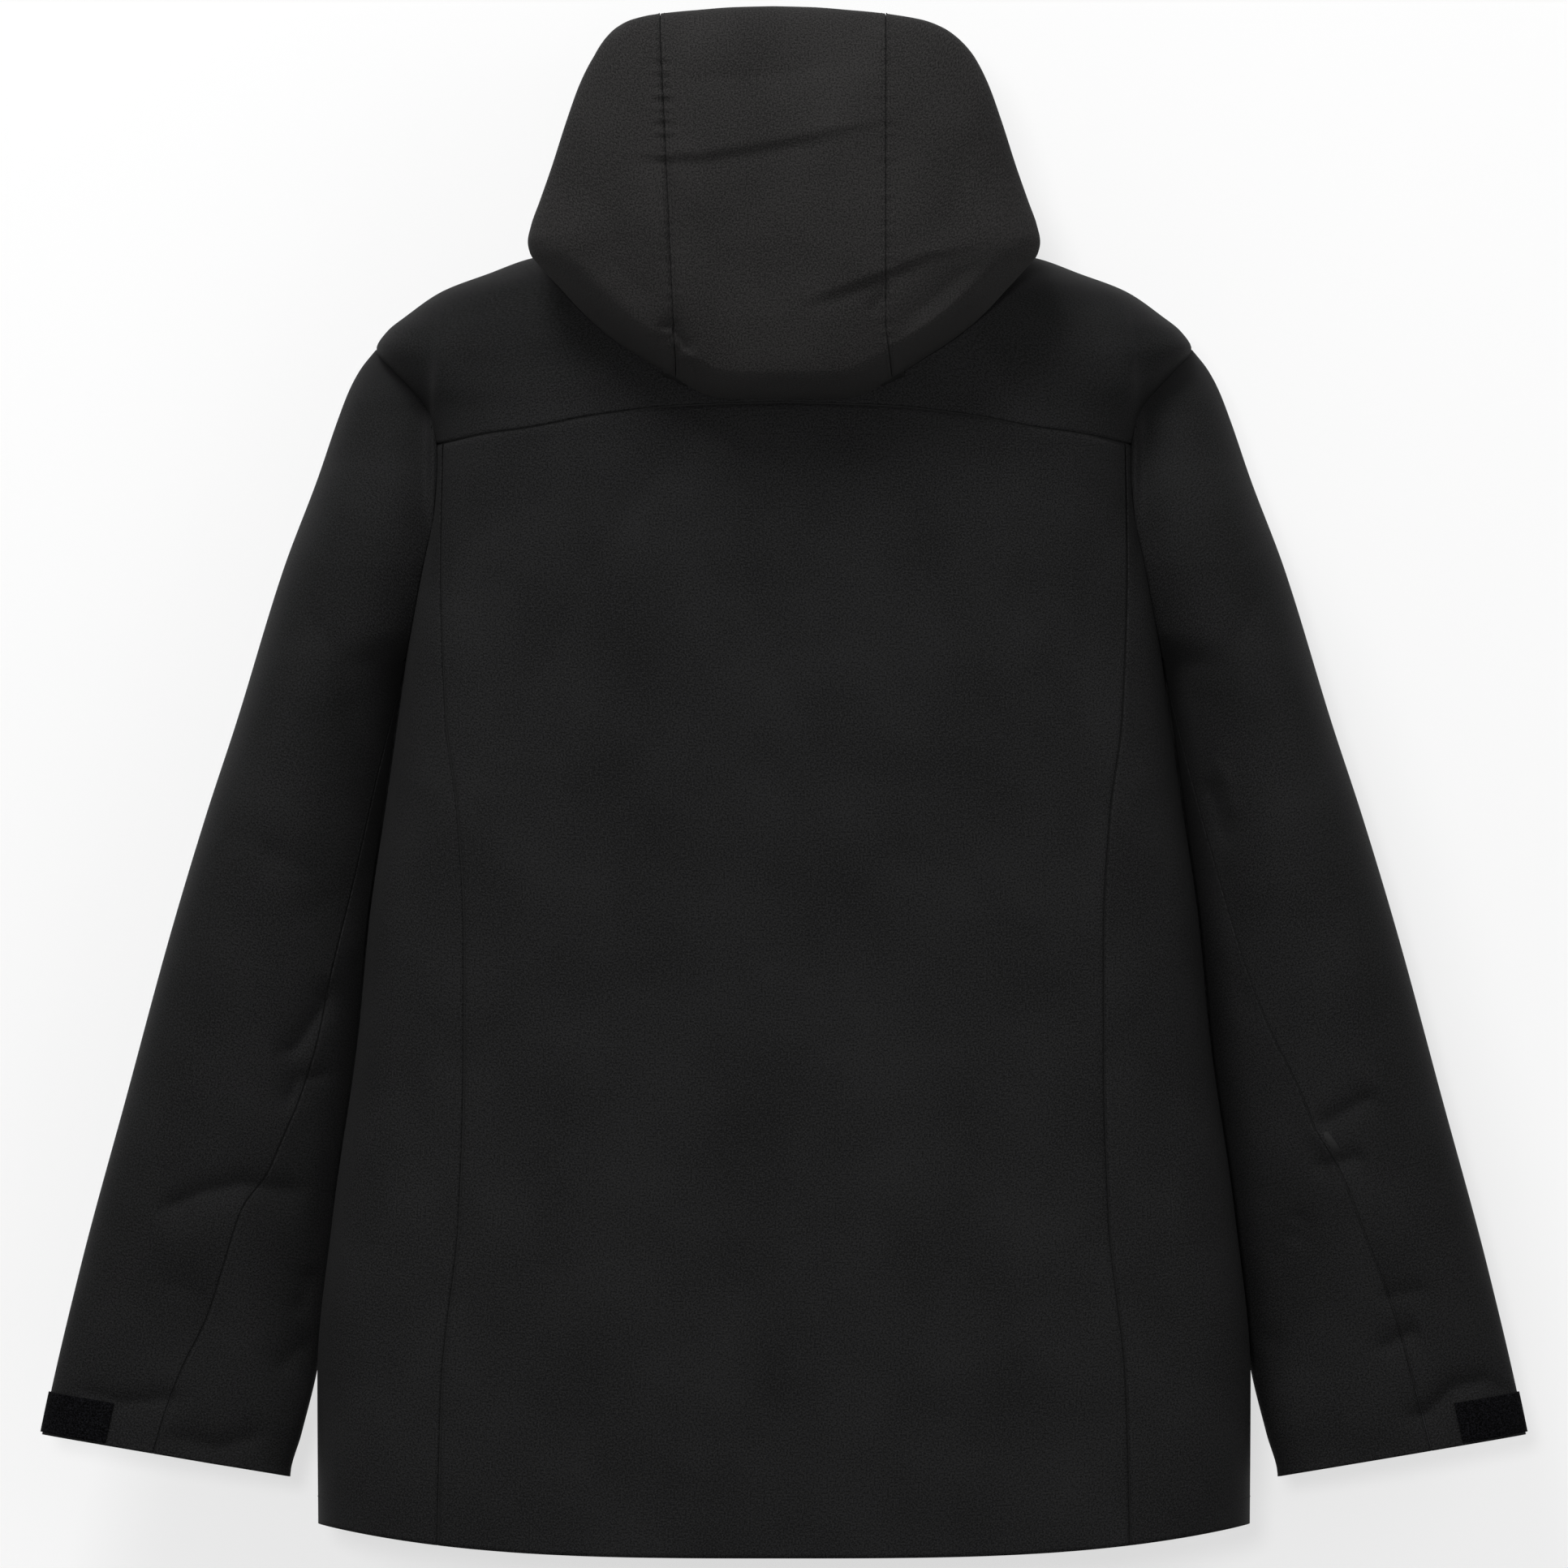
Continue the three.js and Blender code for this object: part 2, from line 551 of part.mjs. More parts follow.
const zip = new THREE.Group();
zip.position.set(0, frontY(HEM_Z) - CLOTH, HEM_Z);
zip.rotation.x = Math.atan(ZIP_LEAN);
jacket.add(zip);
const TAPE_SEAT = 0.9; // behind the front edges, which curve a little at the collar
const ZIP_LENGTH = NECK_Z + COLLAR_HEIGHT - HEM_Z - 2;
const BOX_HEIGHT = 9;
const tapeBack = -TAPE_SEAT - TAPE_THICKNESS;
const coilTop = -TAPE_SEAT + SEAT_GAP + COIL_HEIGHT;
for (const [side, sign] of [["right", 1], ["left", -1]]) {
  const ordered = (from, to) => (sign > 0 ? [from, to] : [-to, -from]);
  const strip = (fromX, toX, fromY, toY, fromZ, toZ) => {
    const [lowX, highX] = ordered(fromX, toX);
    return boxSolid([lowX, fromY, fromZ], [highX, toY, toZ]);
  };
  const edge = COIL_SPLIT / 2;
  const tapeStart = BOX_HEIGHT + SEAT_GAP;
  add("zip_tape_" + side, strip(edge, edge + TAPE_WIDTH - 3, tapeBack, -TAPE_SEAT, tapeStart, ZIP_LENGTH), zipTape, zip);
  add(
    "zip_coil_" + side,
    strip(edge, edge + COIL_WIDTH, coilTop - COIL_HEIGHT, coilTop, tapeStart, ZIP_LENGTH - 8),
    zipCoil,
    zip,
  );
  add(
    "zip_top_stop_" + side,
    strip(edge, edge + COIL_WIDTH, coilTop - COIL_HEIGHT, coilTop + 0.3, ZIP_LENGTH - 8 + SEAT_GAP, ZIP_LENGTH - 4),
    zipMetal,
    zip,
  );
}
add("zip_retaining_box", boxSolid([-5.5, tapeBack - 0.8, 1], [5.5, coilTop + 0.6, BOX_HEIGHT]), zipMetal, zip);
const FLAP = { sewnEdge: -38, bend: -19, free: 24, drop: 5.6, cloth: 1.5, seat: 1 };
const flapSection = new THREE.Shape(
  [
    [FLAP.sewnEdge, -FLAP.seat], [FLAP.bend, -FLAP.seat], [FLAP.bend, -FLAP.drop], [FLAP.free, -FLAP.drop],
    [FLAP.free, -FLAP.drop - FLAP.cloth], [FLAP.bend - FLAP.cloth, -FLAP.drop - FLAP.cloth],
    [FLAP.bend - FLAP.cloth, -FLAP.seat - FLAP.cloth], [FLAP.sewnEdge, -FLAP.seat - FLAP.cloth],
  ].map(([x, y]) => new THREE.Vector2(x, y)),
);
const FLAP_START = HEM_FACING.height + 6;
const FLAP_END = YOKE_MIDDLE_Z - HEM_Z - 4;
const flap = new THREE.ExtrudeGeometry(flapSection, { depth: FLAP_END - FLAP_START, bevelEnabled: false });
add("storm_flap", solidOf(flap.translate(0, 0, FLAP_START)), shellCloth, zip);

// A slider: a front plate and a back plate joined by a post that runs between the two coils.
function sliderSolid(front, back, size) {
  const half = size.width / 2;
  const post = COIL_SPLIT / 2 - SEAT_GAP;
  const earY = front + size.plate + 3.2;
  const ears = boxSolid([-2.2, front, size.length * 0.5], [2.2, earY, size.length * 0.5 + 5]).subtract(
    boxSolid([-3, front + size.plate + 0.6, size.length * 0.5 + 1], [3, earY - 0.8, size.length * 0.5 + 3.6]),
  );
  return boxSolid([-half, front, 0], [half, front + size.plate, size.length])
    .add(boxSolid([-half + 0.6, back - size.plate, 0.6], [half - 0.6, back, size.length - 0.6]))
    .add(boxSolid([-post, back - 0.5, size.length - 5], [post, front + 0.5, size.length - 1]))
    .add(ears);
}
// A puller hangs from the slider's bridge by a ring that has play around it.
function pullerSolid(front, size, slider) {
  const y = front + slider.plate + 0.6 + 0.9;
  const z = slider.length * 0.5 + 2.3;
  const plate = boxSolid(
    [-size.width / 2, y + 1.4, z - size.length], [size.width / 2, y + 1.4 + size.thickness, z - 4],
  );
  const leg = (x) => boxSolid([x, y - 0.5, z - 6], [x + 0.9, y + 1.4 + size.thickness, z + 0.6]);
  const pin = boxSolid([-3.2, y - 0.5, z - 0.5], [3.2, y + 0.5, z + 0.5]);
  const shoulder = boxSolid([-3.4, y + 1.4, z - 6.5], [3.4, y + 1.4 + size.thickness, z - 4.2]);
  return plate.add(shoulder).add(leg(-3.4)).add(leg(2.5)).add(pin);
}
const SLIDER_SHUT = ZIP_LENGTH - 8 - SLIDER.length - 1;
const slideFront = coilTop + 0.4;
const slideBack = tapeBack - 0.4;
const mainSlider = add("main_slider", sliderSolid(slideFront, slideBack, SLIDER), zipMetal, zip);
mainSlider.position.z = SLIDER_SHUT;
const mainPuller = add("main_puller", pullerSolid(slideFront, PULLER, SLIDER), cordRubber, zip);
mainPuller.position.z = SLIDER_SHUT;

// ---- Hand pocket zips, each in the frame of its slot ----

const POCKET_SLIDER = { width: 8, length: 13, plate: 1.1 };
const POCKET_PULLER = { width: 4.4, length: 26, thickness: 1.4 };
const pocketZipFace = -0.5; // a little below the cloth's outer face
const pocketZipBack = pocketZipFace - 1.2;
const pocketPieces = {
  pocket_zip: [
    boxSolid(
      [SEAT_GAP - POCKET_SLOT / 2, pocketZipBack, SEAT_GAP - pocketLength / 2],
      [POCKET_SLOT / 2 - SEAT_GAP, pocketZipFace, pocketLength / 2 - SEAT_GAP],
    )
      .add(boxSolid([-3, pocketZipFace - 0.4, 5 - pocketLength / 2], [3, pocketZipFace + 1, pocketLength / 2 - 5]))
      .subtract(boxSolid([-COIL_SPLIT / 2, -9, 4 - pocketLength / 2], [COIL_SPLIT / 2, 9, pocketLength / 2 - 4])),
    zipCoil,
    0,
  ],
  pocket_slider: [
    sliderSolid(pocketZipFace + 1.4, pocketZipBack - 0.4, POCKET_SLIDER),
    zipMetal,
    pocketLength / 2 - 6 - POCKET_SLIDER.length,
  ],
  pocket_puller: [
    pullerSolid(pocketZipFace + 1.4, POCKET_PULLER, POCKET_SLIDER),
    cordRubber,
    pocketLength / 2 - 6 - POCKET_SLIDER.length,
  ],
};
for (const [name, [solid, material, along]] of Object.entries(pocketPieces)) {
  const placed = inPocket(solid.translate([0, 0, along]));
  add(name + "_right", placed, material);
  add(name + "_left", mirrored(placed), material);
}

// ---- Sleeves ----

const elbowSeam = [
  [205, UNDERARM_Z], [256, -358], [285, -446], [315, -511], [347, -581], [371, -653], [383, -705], [386, -760],
];
const upperCut = seenFromBehind(outlineOf([...elbowSeam, [600, -760], [600, 0], [120, 0], [120, UNDERARM_Z]]));
const underCut = seenFromBehind(
  outlineOf([...elbowSeam.map(([x, z]) => [x - SEAM_GAP, z - SEAM_GAP]), [150, -760], [150, UNDERARM_Z - SEAM_GAP]]),
);
const sleeveShell = layer(sleeveForm, 0, -CLOTH).subtract(bodyForm(SEAM_GAP)).subtract(cuffCut);

// A band across the sleeve, between two distances up from the cuff's edge.
const cuffRise = (CUFF_OUTER[1] - CUFF_INNER[1]) / (CUFF_OUTER[0] - CUFF_INNER[0]);
function cuffBand(low, high, fromX = 200, toX = 500, fromY = -100, toY = 300) {
  const z = (x, up) => CUFF_INNER[1] + (x - CUFF_INNER[0]) * cuffRise + up;
  const corners = [[fromX, z(fromX, low)], [toX, z(toX, low)], [toX, z(toX, high)], [fromX, z(fromX, high)]];
  return seenFromBehind(outlineOf(corners), fromY, toY);
}
const PATCH = { thickness: 1.5, low: 5, high: 5 + TAB_HEIGHT };
const HOOK = { thickness: 0.5 };
const TAB = { thickness: 1.5, freeX: CUFF_OUTER[0] - 8 };
const patchTop = SEAT_GAP + PATCH.thickness;
const hookTop = patchTop + SEAT_GAP + HOOK.thickness;
const tabBottom = hookTop + SEAT_GAP;
const frontSide = [SLEEVE_Y + 3, 300];
const tabBand = (fromX, toX) => cuffBand(PATCH.low + 1, PATCH.high - 1, fromX, toX, ...frontSide);
const sleeveUpper = sleeveShell.intersect(upperCut);
const sleevePieces = {
  sleeve_back: [sleeveUpper.intersect(boxSolid([0, -400, LOW_Z], [600, SLEEVE_Y, 100])), shellCloth],
  sleeve_front: [sleeveUpper.intersect(boxSolid([0, SLEEVE_Y + SEAM_GAP, LOW_Z], [600, 400, 100])), shellCloth],
  sleeve_under: [sleeveShell.intersect(underCut), shellCloth],
  cuff_facing: [
    layer(sleeveForm, -CLOTH - SEAT_GAP, -CLOTH - SEAT_GAP - 1.2).intersect(cuffBand(0, 38)),
    lining,
  ],
  cuff_loop_patch: [
    layer(sleeveForm, patchTop, SEAT_GAP).intersect(cuffBand(PATCH.low, PATCH.high, PATCH_INNER_X)),
    loopPile,
  ],
  cuff_hook_patch: [
    layer(sleeveForm, hookTop, patchTop + SEAT_GAP).intersect(tabBand(PATCH_INNER_X + 3, TAB.freeX - 3)),
    hookTape,
  ],
  cuff_tab: [
    layer(sleeveForm, tabBottom + TAB.thickness, tabBottom)
      .intersect(tabBand(TAB_ROOT_X, TAB.freeX))
      .add(
        layer(sleeveForm, tabBottom + TAB.thickness, SEAT_GAP).intersect(tabBand(TAB_ROOT_X, TAB_ROOT_X + 10)),
      ),
    shellCloth,
  ],
};
for (const [name, [solid, material]] of Object.entries(sleevePieces)) {
  add(name + "_right", solid, material);
  add(name + "_left", mirrored(solid), material);
}

export default jacket;
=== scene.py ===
import math

import bmesh
import bpy
import numpy as np
from mathutils import Matrix, Vector


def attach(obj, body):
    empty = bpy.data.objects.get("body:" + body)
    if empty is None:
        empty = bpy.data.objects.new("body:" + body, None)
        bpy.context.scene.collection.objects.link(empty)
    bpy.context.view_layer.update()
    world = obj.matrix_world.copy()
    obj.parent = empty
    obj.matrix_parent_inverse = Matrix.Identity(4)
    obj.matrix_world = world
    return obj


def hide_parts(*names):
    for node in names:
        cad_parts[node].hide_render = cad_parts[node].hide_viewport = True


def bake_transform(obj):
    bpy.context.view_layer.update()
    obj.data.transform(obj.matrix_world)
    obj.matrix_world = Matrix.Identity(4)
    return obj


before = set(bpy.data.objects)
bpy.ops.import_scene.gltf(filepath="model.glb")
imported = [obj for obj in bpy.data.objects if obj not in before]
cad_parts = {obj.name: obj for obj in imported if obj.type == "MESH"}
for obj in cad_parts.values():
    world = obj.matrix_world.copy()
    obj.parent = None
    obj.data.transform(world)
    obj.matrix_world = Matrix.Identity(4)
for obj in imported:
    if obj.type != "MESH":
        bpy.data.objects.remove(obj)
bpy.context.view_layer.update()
bpy.ops.object.select_all(action="DESELECT")

# ---- The studio: camera, backdrop, floor and light ----
# The jacket is seen square from behind through a very long lens. A pale backdrop stands just past its
# front. It has one face only, so it isn't there when the jacket is looked at from the other side.
CAMERA_AWAY = 30.0
VIEW_WIDTH = 0.9274
VIEW_HEIGHT = -0.3053
SIDE_PLANE = 0.06


def placed(name, data):
    """A new object in the scene."""
    thing = bpy.data.objects.new(name, data)
    bpy.context.scene.collection.objects.link(thing)
    return thing


camera_data = bpy.data.cameras.new("camera")
camera_data.sensor_width = 36
camera_data.lens = 36 * CAMERA_AWAY / VIEW_WIDTH
camera_data.clip_end = 100
camera = placed("camera", camera_data)
camera.location = (0, SIDE_PLANE - CAMERA_AWAY, VIEW_HEIGHT)
camera.rotation_euler = (math.radians(90), 0, 0)
bpy.context.scene.camera = camera
bpy.context.scene.view_settings.view_transform = "Standard"


def node_material(name):
    material = bpy.data.materials.new(name)
    material.use_nodes = True
    nodes = material.node_tree.nodes
    return material, nodes, material.node_tree.links, nodes["Principled BSDF"]


backdrop_paper, nodes, links, shader = node_material("backdrop_paper")
shader.inputs["Base Color"].default_value = (0.25, 0.25, 0.25, 1)
shader.inputs["Roughness"].default_value = 1
shader.inputs["Specular IOR Level"].default_value = 0
shader.inputs["Emission Color"].default_value = (1, 1, 1, 1)
shader.inputs["Emission Strength"].default_value = 0.66
clear = nodes.new("ShaderNodeBsdfTransparent")
which_side = nodes.new("ShaderNodeNewGeometry")
either = nodes.new("ShaderNodeMixShader")
links.new(which_side.outputs["Backfacing"], either.inputs[0])
links.new(shader.outputs[0], either.inputs[1])
links.new(clear.outputs[0], either.inputs[2])
links.new(either.outputs[0], nodes["Material Output"].inputs[0])

bpy.ops.mesh.primitive_plane_add(size=1)
backdrop = bpy.context.object
backdrop.name = "backdrop"
backdrop.data.transform(
    Matrix.Translation((0, 0.172, 0.4)) @ Matrix.Rotation(math.radians(90), 4, "X") @ Matrix.Diagonal((6, 2.6, 1, 1))
)
backdrop.data.materials.append(backdrop_paper)

floor_paper, nodes, links, shader = node_material("floor_paper")
shader.inputs["Base Color"].default_value = (0.3, 0.3, 0.3, 1)
shader.inputs["Roughness"].default_value = 1
bpy.ops.mesh.primitive_plane_add(size=1)
floor = bpy.context.object
floor.name = "floor"
floor.data.transform(Matrix.Translation((0, 0, -0.83)) @ Matrix.Diagonal((9, 9, 1, 1)))
floor.data.materials.append(floor_paper)

world = bpy.data.worlds.new("pale_room")
world.use_nodes = True
sky = world.node_tree.nodes["Background"]
sky.inputs[1].default_value = 0.5
direction = world.node_tree.nodes.new("ShaderNodeTexCoord")
upward = world.node_tree.nodes.new("ShaderNodeSeparateXYZ")
light_above = world.node_tree.nodes.new("ShaderNodeMapRange")
light_above.inputs["From Min"].default_value = -0.6
light_above.inputs["From Max"].default_value = 0.8
light_above.inputs["To Min"].default_value = 0.12
world.node_tree.links.new(direction.outputs["Generated"], upward.inputs[0])
world.node_tree.links.new(upward.outputs["Z"], light_above.inputs["Value"])
world.node_tree.links.new(light_above.outputs[0], sky.inputs[0])
bpy.context.scene.world = world


def soft_light(name, place, aim, size, watts):
    data = bpy.data.lights.new(name, "AREA")
    data.shape = "RECTANGLE"
    data.size, data.size_y = size
    data.energy = watts
    light = placed(name, data)
    light.location = place
    light.rotation_euler = (Vector(aim) - Vector(place)).to_track_quat("-Z", "Y").to_euler()
    light.visible_camera = False


soft_light("key", (-0.75, -1.6, 2.3), (0, 0, -0.3), (0.9, 0.9), 80)
soft_light("fill", (1.6, -2.4, 0.2), (0, 0.05, -0.35), (1.6, 1.6), 10)

# A lamp beside the lens draws the thin shadow that hugs the lower and right edges on the backdrop.
lens_lamp_data = bpy.data.lights.new("lens_lamp", "SUN")
lens_lamp_data.energy = 1.2
lens_lamp_data.angle = math.radians(6)
lens_lamp = placed("lens_lamp", lens_lamp_data)
lens_lamp.rotation_euler = Vector((0.075, 1, -0.085)).to_track_quat("-Z", "Y").to_euler()

# ---- Shell cloth ----
# Black three-layer waterproof cloth with a fine plain weave, almost without shine. Its pattern runs
# with the cut of each panel, so it reads the panel's own map, which is in metres.


def noise_node(nodes, links, scale, detail, vector):
    noise = nodes.new("ShaderNodeTexNoise")
    noise.inputs["Scale"].default_value = scale
    noise.inputs["Detail"].default_value = detail
    links.new(vector, noise.inputs["Vector"])
    return noise.outputs["Fac"]


def colour_ramp(nodes, links, shader, value, low, high):
    """Colours the surface from low to high, each a place on the ramp and a colour."""
    tone = nodes.new("ShaderNodeValToRGB")
    for stop, (place, colour) in zip(tone.color_ramp.elements, (low, high)):
        stop.position = place
        stop.color = (*colour, 1)
    links.new(value, tone.inputs[0])
    links.new(tone.outputs[0], shader.inputs["Base Color"])


def raise_surface(nodes, links, shader, height, strength, distance):
    bump = nodes.new("ShaderNodeBump")
    bump.inputs["Strength"].default_value = strength
    bump.inputs["Distance"].default_value = distance
    links.new(height, bump.inputs["Height"])
    links.new(bump.outputs[0], shader.inputs["Normal"])


def cloth_material(name, colour, fleck, roughness, sheen):
    material, nodes, links, shader = node_material(name)
    shader.inputs["Roughness"].default_value = roughness
    shader.inputs["Specular IOR Level"].default_value = 0.05
    shader.inputs["Sheen Weight"].default_value = sheen
    shader.inputs["Sheen Roughness"].default_value = 0.6
    cut = nodes.new("ShaderNodeUVMap")
    cut.uv_map = "cut"

    grain = noise_node(nodes, links, 1000, 3, cut.outputs[0])
    cloud = noise_node(nodes, links, 14, 4, cut.outputs[0])
    both = nodes.new("ShaderNodeMath")
    both.operation = "MULTIPLY_ADD"
    both.inputs[1].default_value = 0.25
    links.new(cloud, both.inputs[0])
    links.new(grain, both.inputs[2])
    dark, pale = ([c * (1 + change) for c in colour] for change in (-fleck, fleck))
    colour_ramp(nodes, links, shader, both.outputs[0], (0.5, dark), (0.76, pale))

    weave = []
    for direction in ("X", "Y"):
        yarn = nodes.new("ShaderNodeTexWave")
        yarn.bands_direction = direction
        yarn.inputs["Scale"].default_value = 1000
        yarn.inputs["Distortion"].default_value = 0.6
        yarn.inputs["Detail"].default_value = 1
        links.new(cut.outputs[0], yarn.inputs["Vector"])
        weave.append(yarn)
    over = nodes.new("ShaderNodeMath")
    over.operation = "MULTIPLY"
    links.new(weave[0].outputs["Fac"], over.inputs[0])
    links.new(weave[1].outputs["Fac"], over.inputs[1])
    relief = nodes.new("ShaderNodeMath")
    relief.operation = "ADD"
    links.new(over.outputs[0], relief.inputs[0])
    links.new(grain, relief.inputs[1])
    raise_surface(nodes, links, shader, relief.outputs[0], 0.35, 0.00025)
    return material


shell_cloth = cloth_material("shell_cloth", (0.0085, 0.0085, 0.0087), 0.6, 0.7, 0.012)
# The hood's cloth is painted lighter than the shell cloth. This is painted light, standing in for the light that falls
# on the hood's upturned slopes.
hood_cloth = cloth_material("hood_cloth", (0.0146, 0.0140, 0.0138), 0.55, 0.7, 0.02)
lining = cloth_material("lining", (0.02, 0.02, 0.021), 0.2, 0.9, 0.05)


def plain_material(name, colour, roughness, grain, relief, metallic=0.0, ribs=0.0):
    """A material for small parts, with a fine grain and, where ribs is set, raised ribs across its height."""
    material, nodes, links, shader = node_material(name)
    shader.inputs["Base Color"].default_value = (*colour, 1)
    shader.inputs["Metallic"].default_value = metallic
    shader.inputs["Specular IOR Level"].default_value = 0.3
    place = nodes.new("ShaderNodeTexCoord")
    noise = noise_node(nodes, links, grain, 4, place.outputs["Object"])
    shine = nodes.new("ShaderNodeMapRange")
    shine.inputs["To Min"].default_value = roughness - 0.08
    shine.inputs["To Max"].default_value = min(roughness + 0.12, 1)
    links.new(noise, shine.inputs["Value"])
    links.new(shine.outputs[0], shader.inputs["Roughness"])
    height = noise
    if ribs:
        wave = nodes.new("ShaderNodeTexWave")
        wave.bands_direction = "Z"
        wave.inputs["Scale"].default_value = ribs
        links.new(place.outputs["Object"], wave.inputs["Vector"])
        height = wave.outputs["Fac"]
    raise_surface(nodes, links, shader, height, 0.5, relief)
    return material


woven_tape = plain_material("woven_tape", (0.007, 0.007, 0.007), 0.85, 700, 0.0002, ribs=500)
thread = plain_material("thread", (0.002, 0.002, 0.002), 0.9, 900, 0.0001)
zip_teeth = plain_material("zip_teeth", (0.0052, 0.0052, 0.0052), 0.5, 600, 0.0006, ribs=210)
black_metal = plain_material("black_metal", (0.0103, 0.0103, 0.011), 0.42, 1400, 0.00004, metallic=0.6)
moulded_rubber = plain_material("moulded_rubber", (0.006, 0.006, 0.006), 0.6, 1800, 0.00006)

# ---- The body's shape ----
# A level section of the body is flatter behind than in front. Heights and widths are in millimetres
# until a panel is made. Above the armholes the section is followed up and over the shoulders.
MM = 0.001


def smooth_line(*stations):
    """A smooth line through (place, value) stations, in rising order of place, with no overshoot."""
    place, value = np.array(stations, float).T
    span = np.diff(place)
    rise = np.diff(value) / span
    slope = np.zeros(len(place))
    slope[0], slope[-1] = rise[0], rise[-1]
    same = rise[:-1] * rise[1:] > 0
    total = np.where(same, rise[:-1] + rise[1:], 1)
    slope[1:-1] = np.where(same, 2 * rise[:-1] * rise[1:] / total, 0)

    def at(p):
        p = np.clip(p, place[0], place[-1])
        i = np.clip(np.searchsorted(place, p, side="right") - 1, 0, len(span) - 1)
        h = span[i]
        t = (p - place[i]) / h
        return (
            value[i] * (1 + 2 * t) * (1 - t) ** 2
            + value[i + 1] * t**2 * (3 - 2 * t)
            + h * (slope[i] * t * (1 - t) ** 2 - slope[i + 1] * t**2 * (1 - t))
        )

    return at


BACK_FLATNESS = 3.4
FRONT_FLATNESS = 2.4
MIDDLE_Y = 60
HEM_Z = -762
NECK_Z = 12
COLLAR_TOP_Z = 60
ARMHOLE_Z = -108
# height, half-width and depth of the back, from the hem to the top of the collar
BODY_STATIONS = [
    (-790, 275, 93), (-739, 275.5, 93), (-656, 276, 93), (-562, 267, 91), (-456, 252, 90), (-384, 245, 92),
    (-322, 236, 95), (-266, 228, 96), (-220, 222, 96), (-178, 216, 96), (-140, 209.5, 95), (-108, 207.5, 94),
    (-96, 209.5, 93), (-84, 214, 91), (-70, 225, 89), (-60, 233, 87), (-48, 241, 85), (-38, 235, 84),
    (-29, 224, 83), (-14, 202, 80), (-4, 176, 76), (6, 147, 71), (9.5, 120, 67), (12, 94, 63.5), (17, 88, 62),
    (60, 87, 58),
]
run = [float(s[0]) for s in BODY_STATIONS]
for i, (low, high) in enumerate(zip(BODY_STATIONS, BODY_STATIONS[1:])):
    if low[0] >= ARMHOLE_Z:
        run[i + 1] = run[i] + math.hypot(high[0] - low[0], high[1] - low[1])
body_z, body_half, body_back = (smooth_line(*[(r, s[k]) for r, s in zip(run, BODY_STATIONS)]) for k in range(3))
fine_run = np.linspace(run[0], run[-1], 3000)
fine_z = np.maximum.accumulate(body_z(fine_run))


def run_at(z):
    return np.interp(z, fine_z, fine_run)


def front_depth(z):
    return 95.5 - 0.0335 * (z - HEM_Z)


def body_point(r, turn):
    """Where the body is at a run up its side and a turn: 0 mid back, a quarter turn at the side, half at the zip."""
    n = np.where(np.abs(turn) < math.pi / 2, BACK_FLATNESS, FRONT_FLATNESS)
    c, w = np.cos(turn), np.sin(turn)
    reach = (np.abs(c) ** n + np.abs(w) ** n) ** (-1 / n)
    z = body_z(r)
    depth = np.where(c > 0, -body_back(r), front_depth(z)) * np.abs(c) * reach
    return np.stack([body_half(r) * w * reach, MIDDLE_Y + depth, z], -1)


def turn_at_x(r, x, flatness=BACK_FLATNESS):
    t = np.clip(x / body_half(r), 0, 0.9999)
    turn = np.arctan2(t, (1 - t**flatness) ** (1 / flatness))
    return turn if flatness == BACK_FLATNESS else math.pi - turn


def turn_at_y(r, y):
    u = np.clip((y - MIDDLE_Y) / front_depth(body_z(r)), 0, 0.9999)
    return math.pi - np.arctan2((1 - u**FRONT_FLATNESS) ** (1 / FRONT_FLATNESS), u)


# ---- Folds ----
# What hangs in the cloth: soft waves everywhere, and creases that each run along a path seen from
# behind. Folds move the cloth along Y only, so pieces that meet at a seam still meet.


def distance_to(path, x, z):
    """Signed distance from a path in X and Z, and how far along it from 0 to 1."""
    path = np.array(path, float)
    lengths = np.hypot(*np.diff(path, axis=0).T)
    total = lengths.sum()
    best = np.full(x.shape, 1e9)
    side = np.zeros(x.shape)
    along = np.zeros(x.shape)
    done = 0
    for (x0, z0), (x1, z1), length in zip(path, path[1:], lengths):
        dx, dz = (x1 - x0) / length, (z1 - z0) / length
        t = (x - x0) * dx + (z - z0) * dz
        held = np.clip(t, 0, length)
        d = np.hypot(x - x0 - held * dx, z - z0 - held * dz)
        near = d < best
        best = np.where(near, d, best)
        side = np.where(near, np.sign((x - x0) * dz - (z - z0) * dx), side)
        along = np.where(near, (done + held) / total, along)
        done += length
    return best, side, along


FOLD_DEPTH = 1.5


def crease(path, depth, right=8, left=8, fade=0.25):
    """A valley of a depth, with a width on its right and left looking along its path. A negative depth is a ridge."""

    def push(x, z):
        distance, side, along = distance_to(path, x, z)
        width = np.where(side > 0, right, left)
        ends = np.clip(along / fade, 0, 1) * np.clip((1 - along) / fade, 0, 1) if fade else 1
        return FOLD_DEPTH * depth * ends * np.exp(-np.abs(distance / width) ** 1.25)

    return push


def creases(*rows):
    return [crease(*row) for row in rows]


chance = np.random.default_rng(11)
WAVES = [  # heading, rate, phase and size of each
    (
        chance.uniform(0, math.tau), math.tau / chance.uniform(45, 190),
        chance.uniform(0, math.tau), chance.uniform(0.4, 1),
    )
    for _ in range(16)
]


def soft_waves(x, z):
    total = 0
    for heading, rate, phase, size in WAVES:
        total = total + size * np.sin(rate * (x * math.cos(heading) + z * math.sin(heading)) + phase)
    return total / 6


shoulder_fold = smooth_line((-300, 203), (-108, 208), (-60, 205.5), (-24, 202), (60, 199))


def shoulder_drop(x, z):
    """Beyond the fold that runs up each side into the shoulder, the cloth lies deeper."""
    past = np.abs(x) - shoulder_fold(z)
    deep = 11 * np.clip((-16 - z) / 70, 0, 1) * np.clip((z + 175) / 60, 0, 1)
    return deep * np.clip(1 - np.exp(-np.clip(past, 0, None) / 2.5), 0, 1) * np.exp(-np.clip(past, 0, None) / 60)


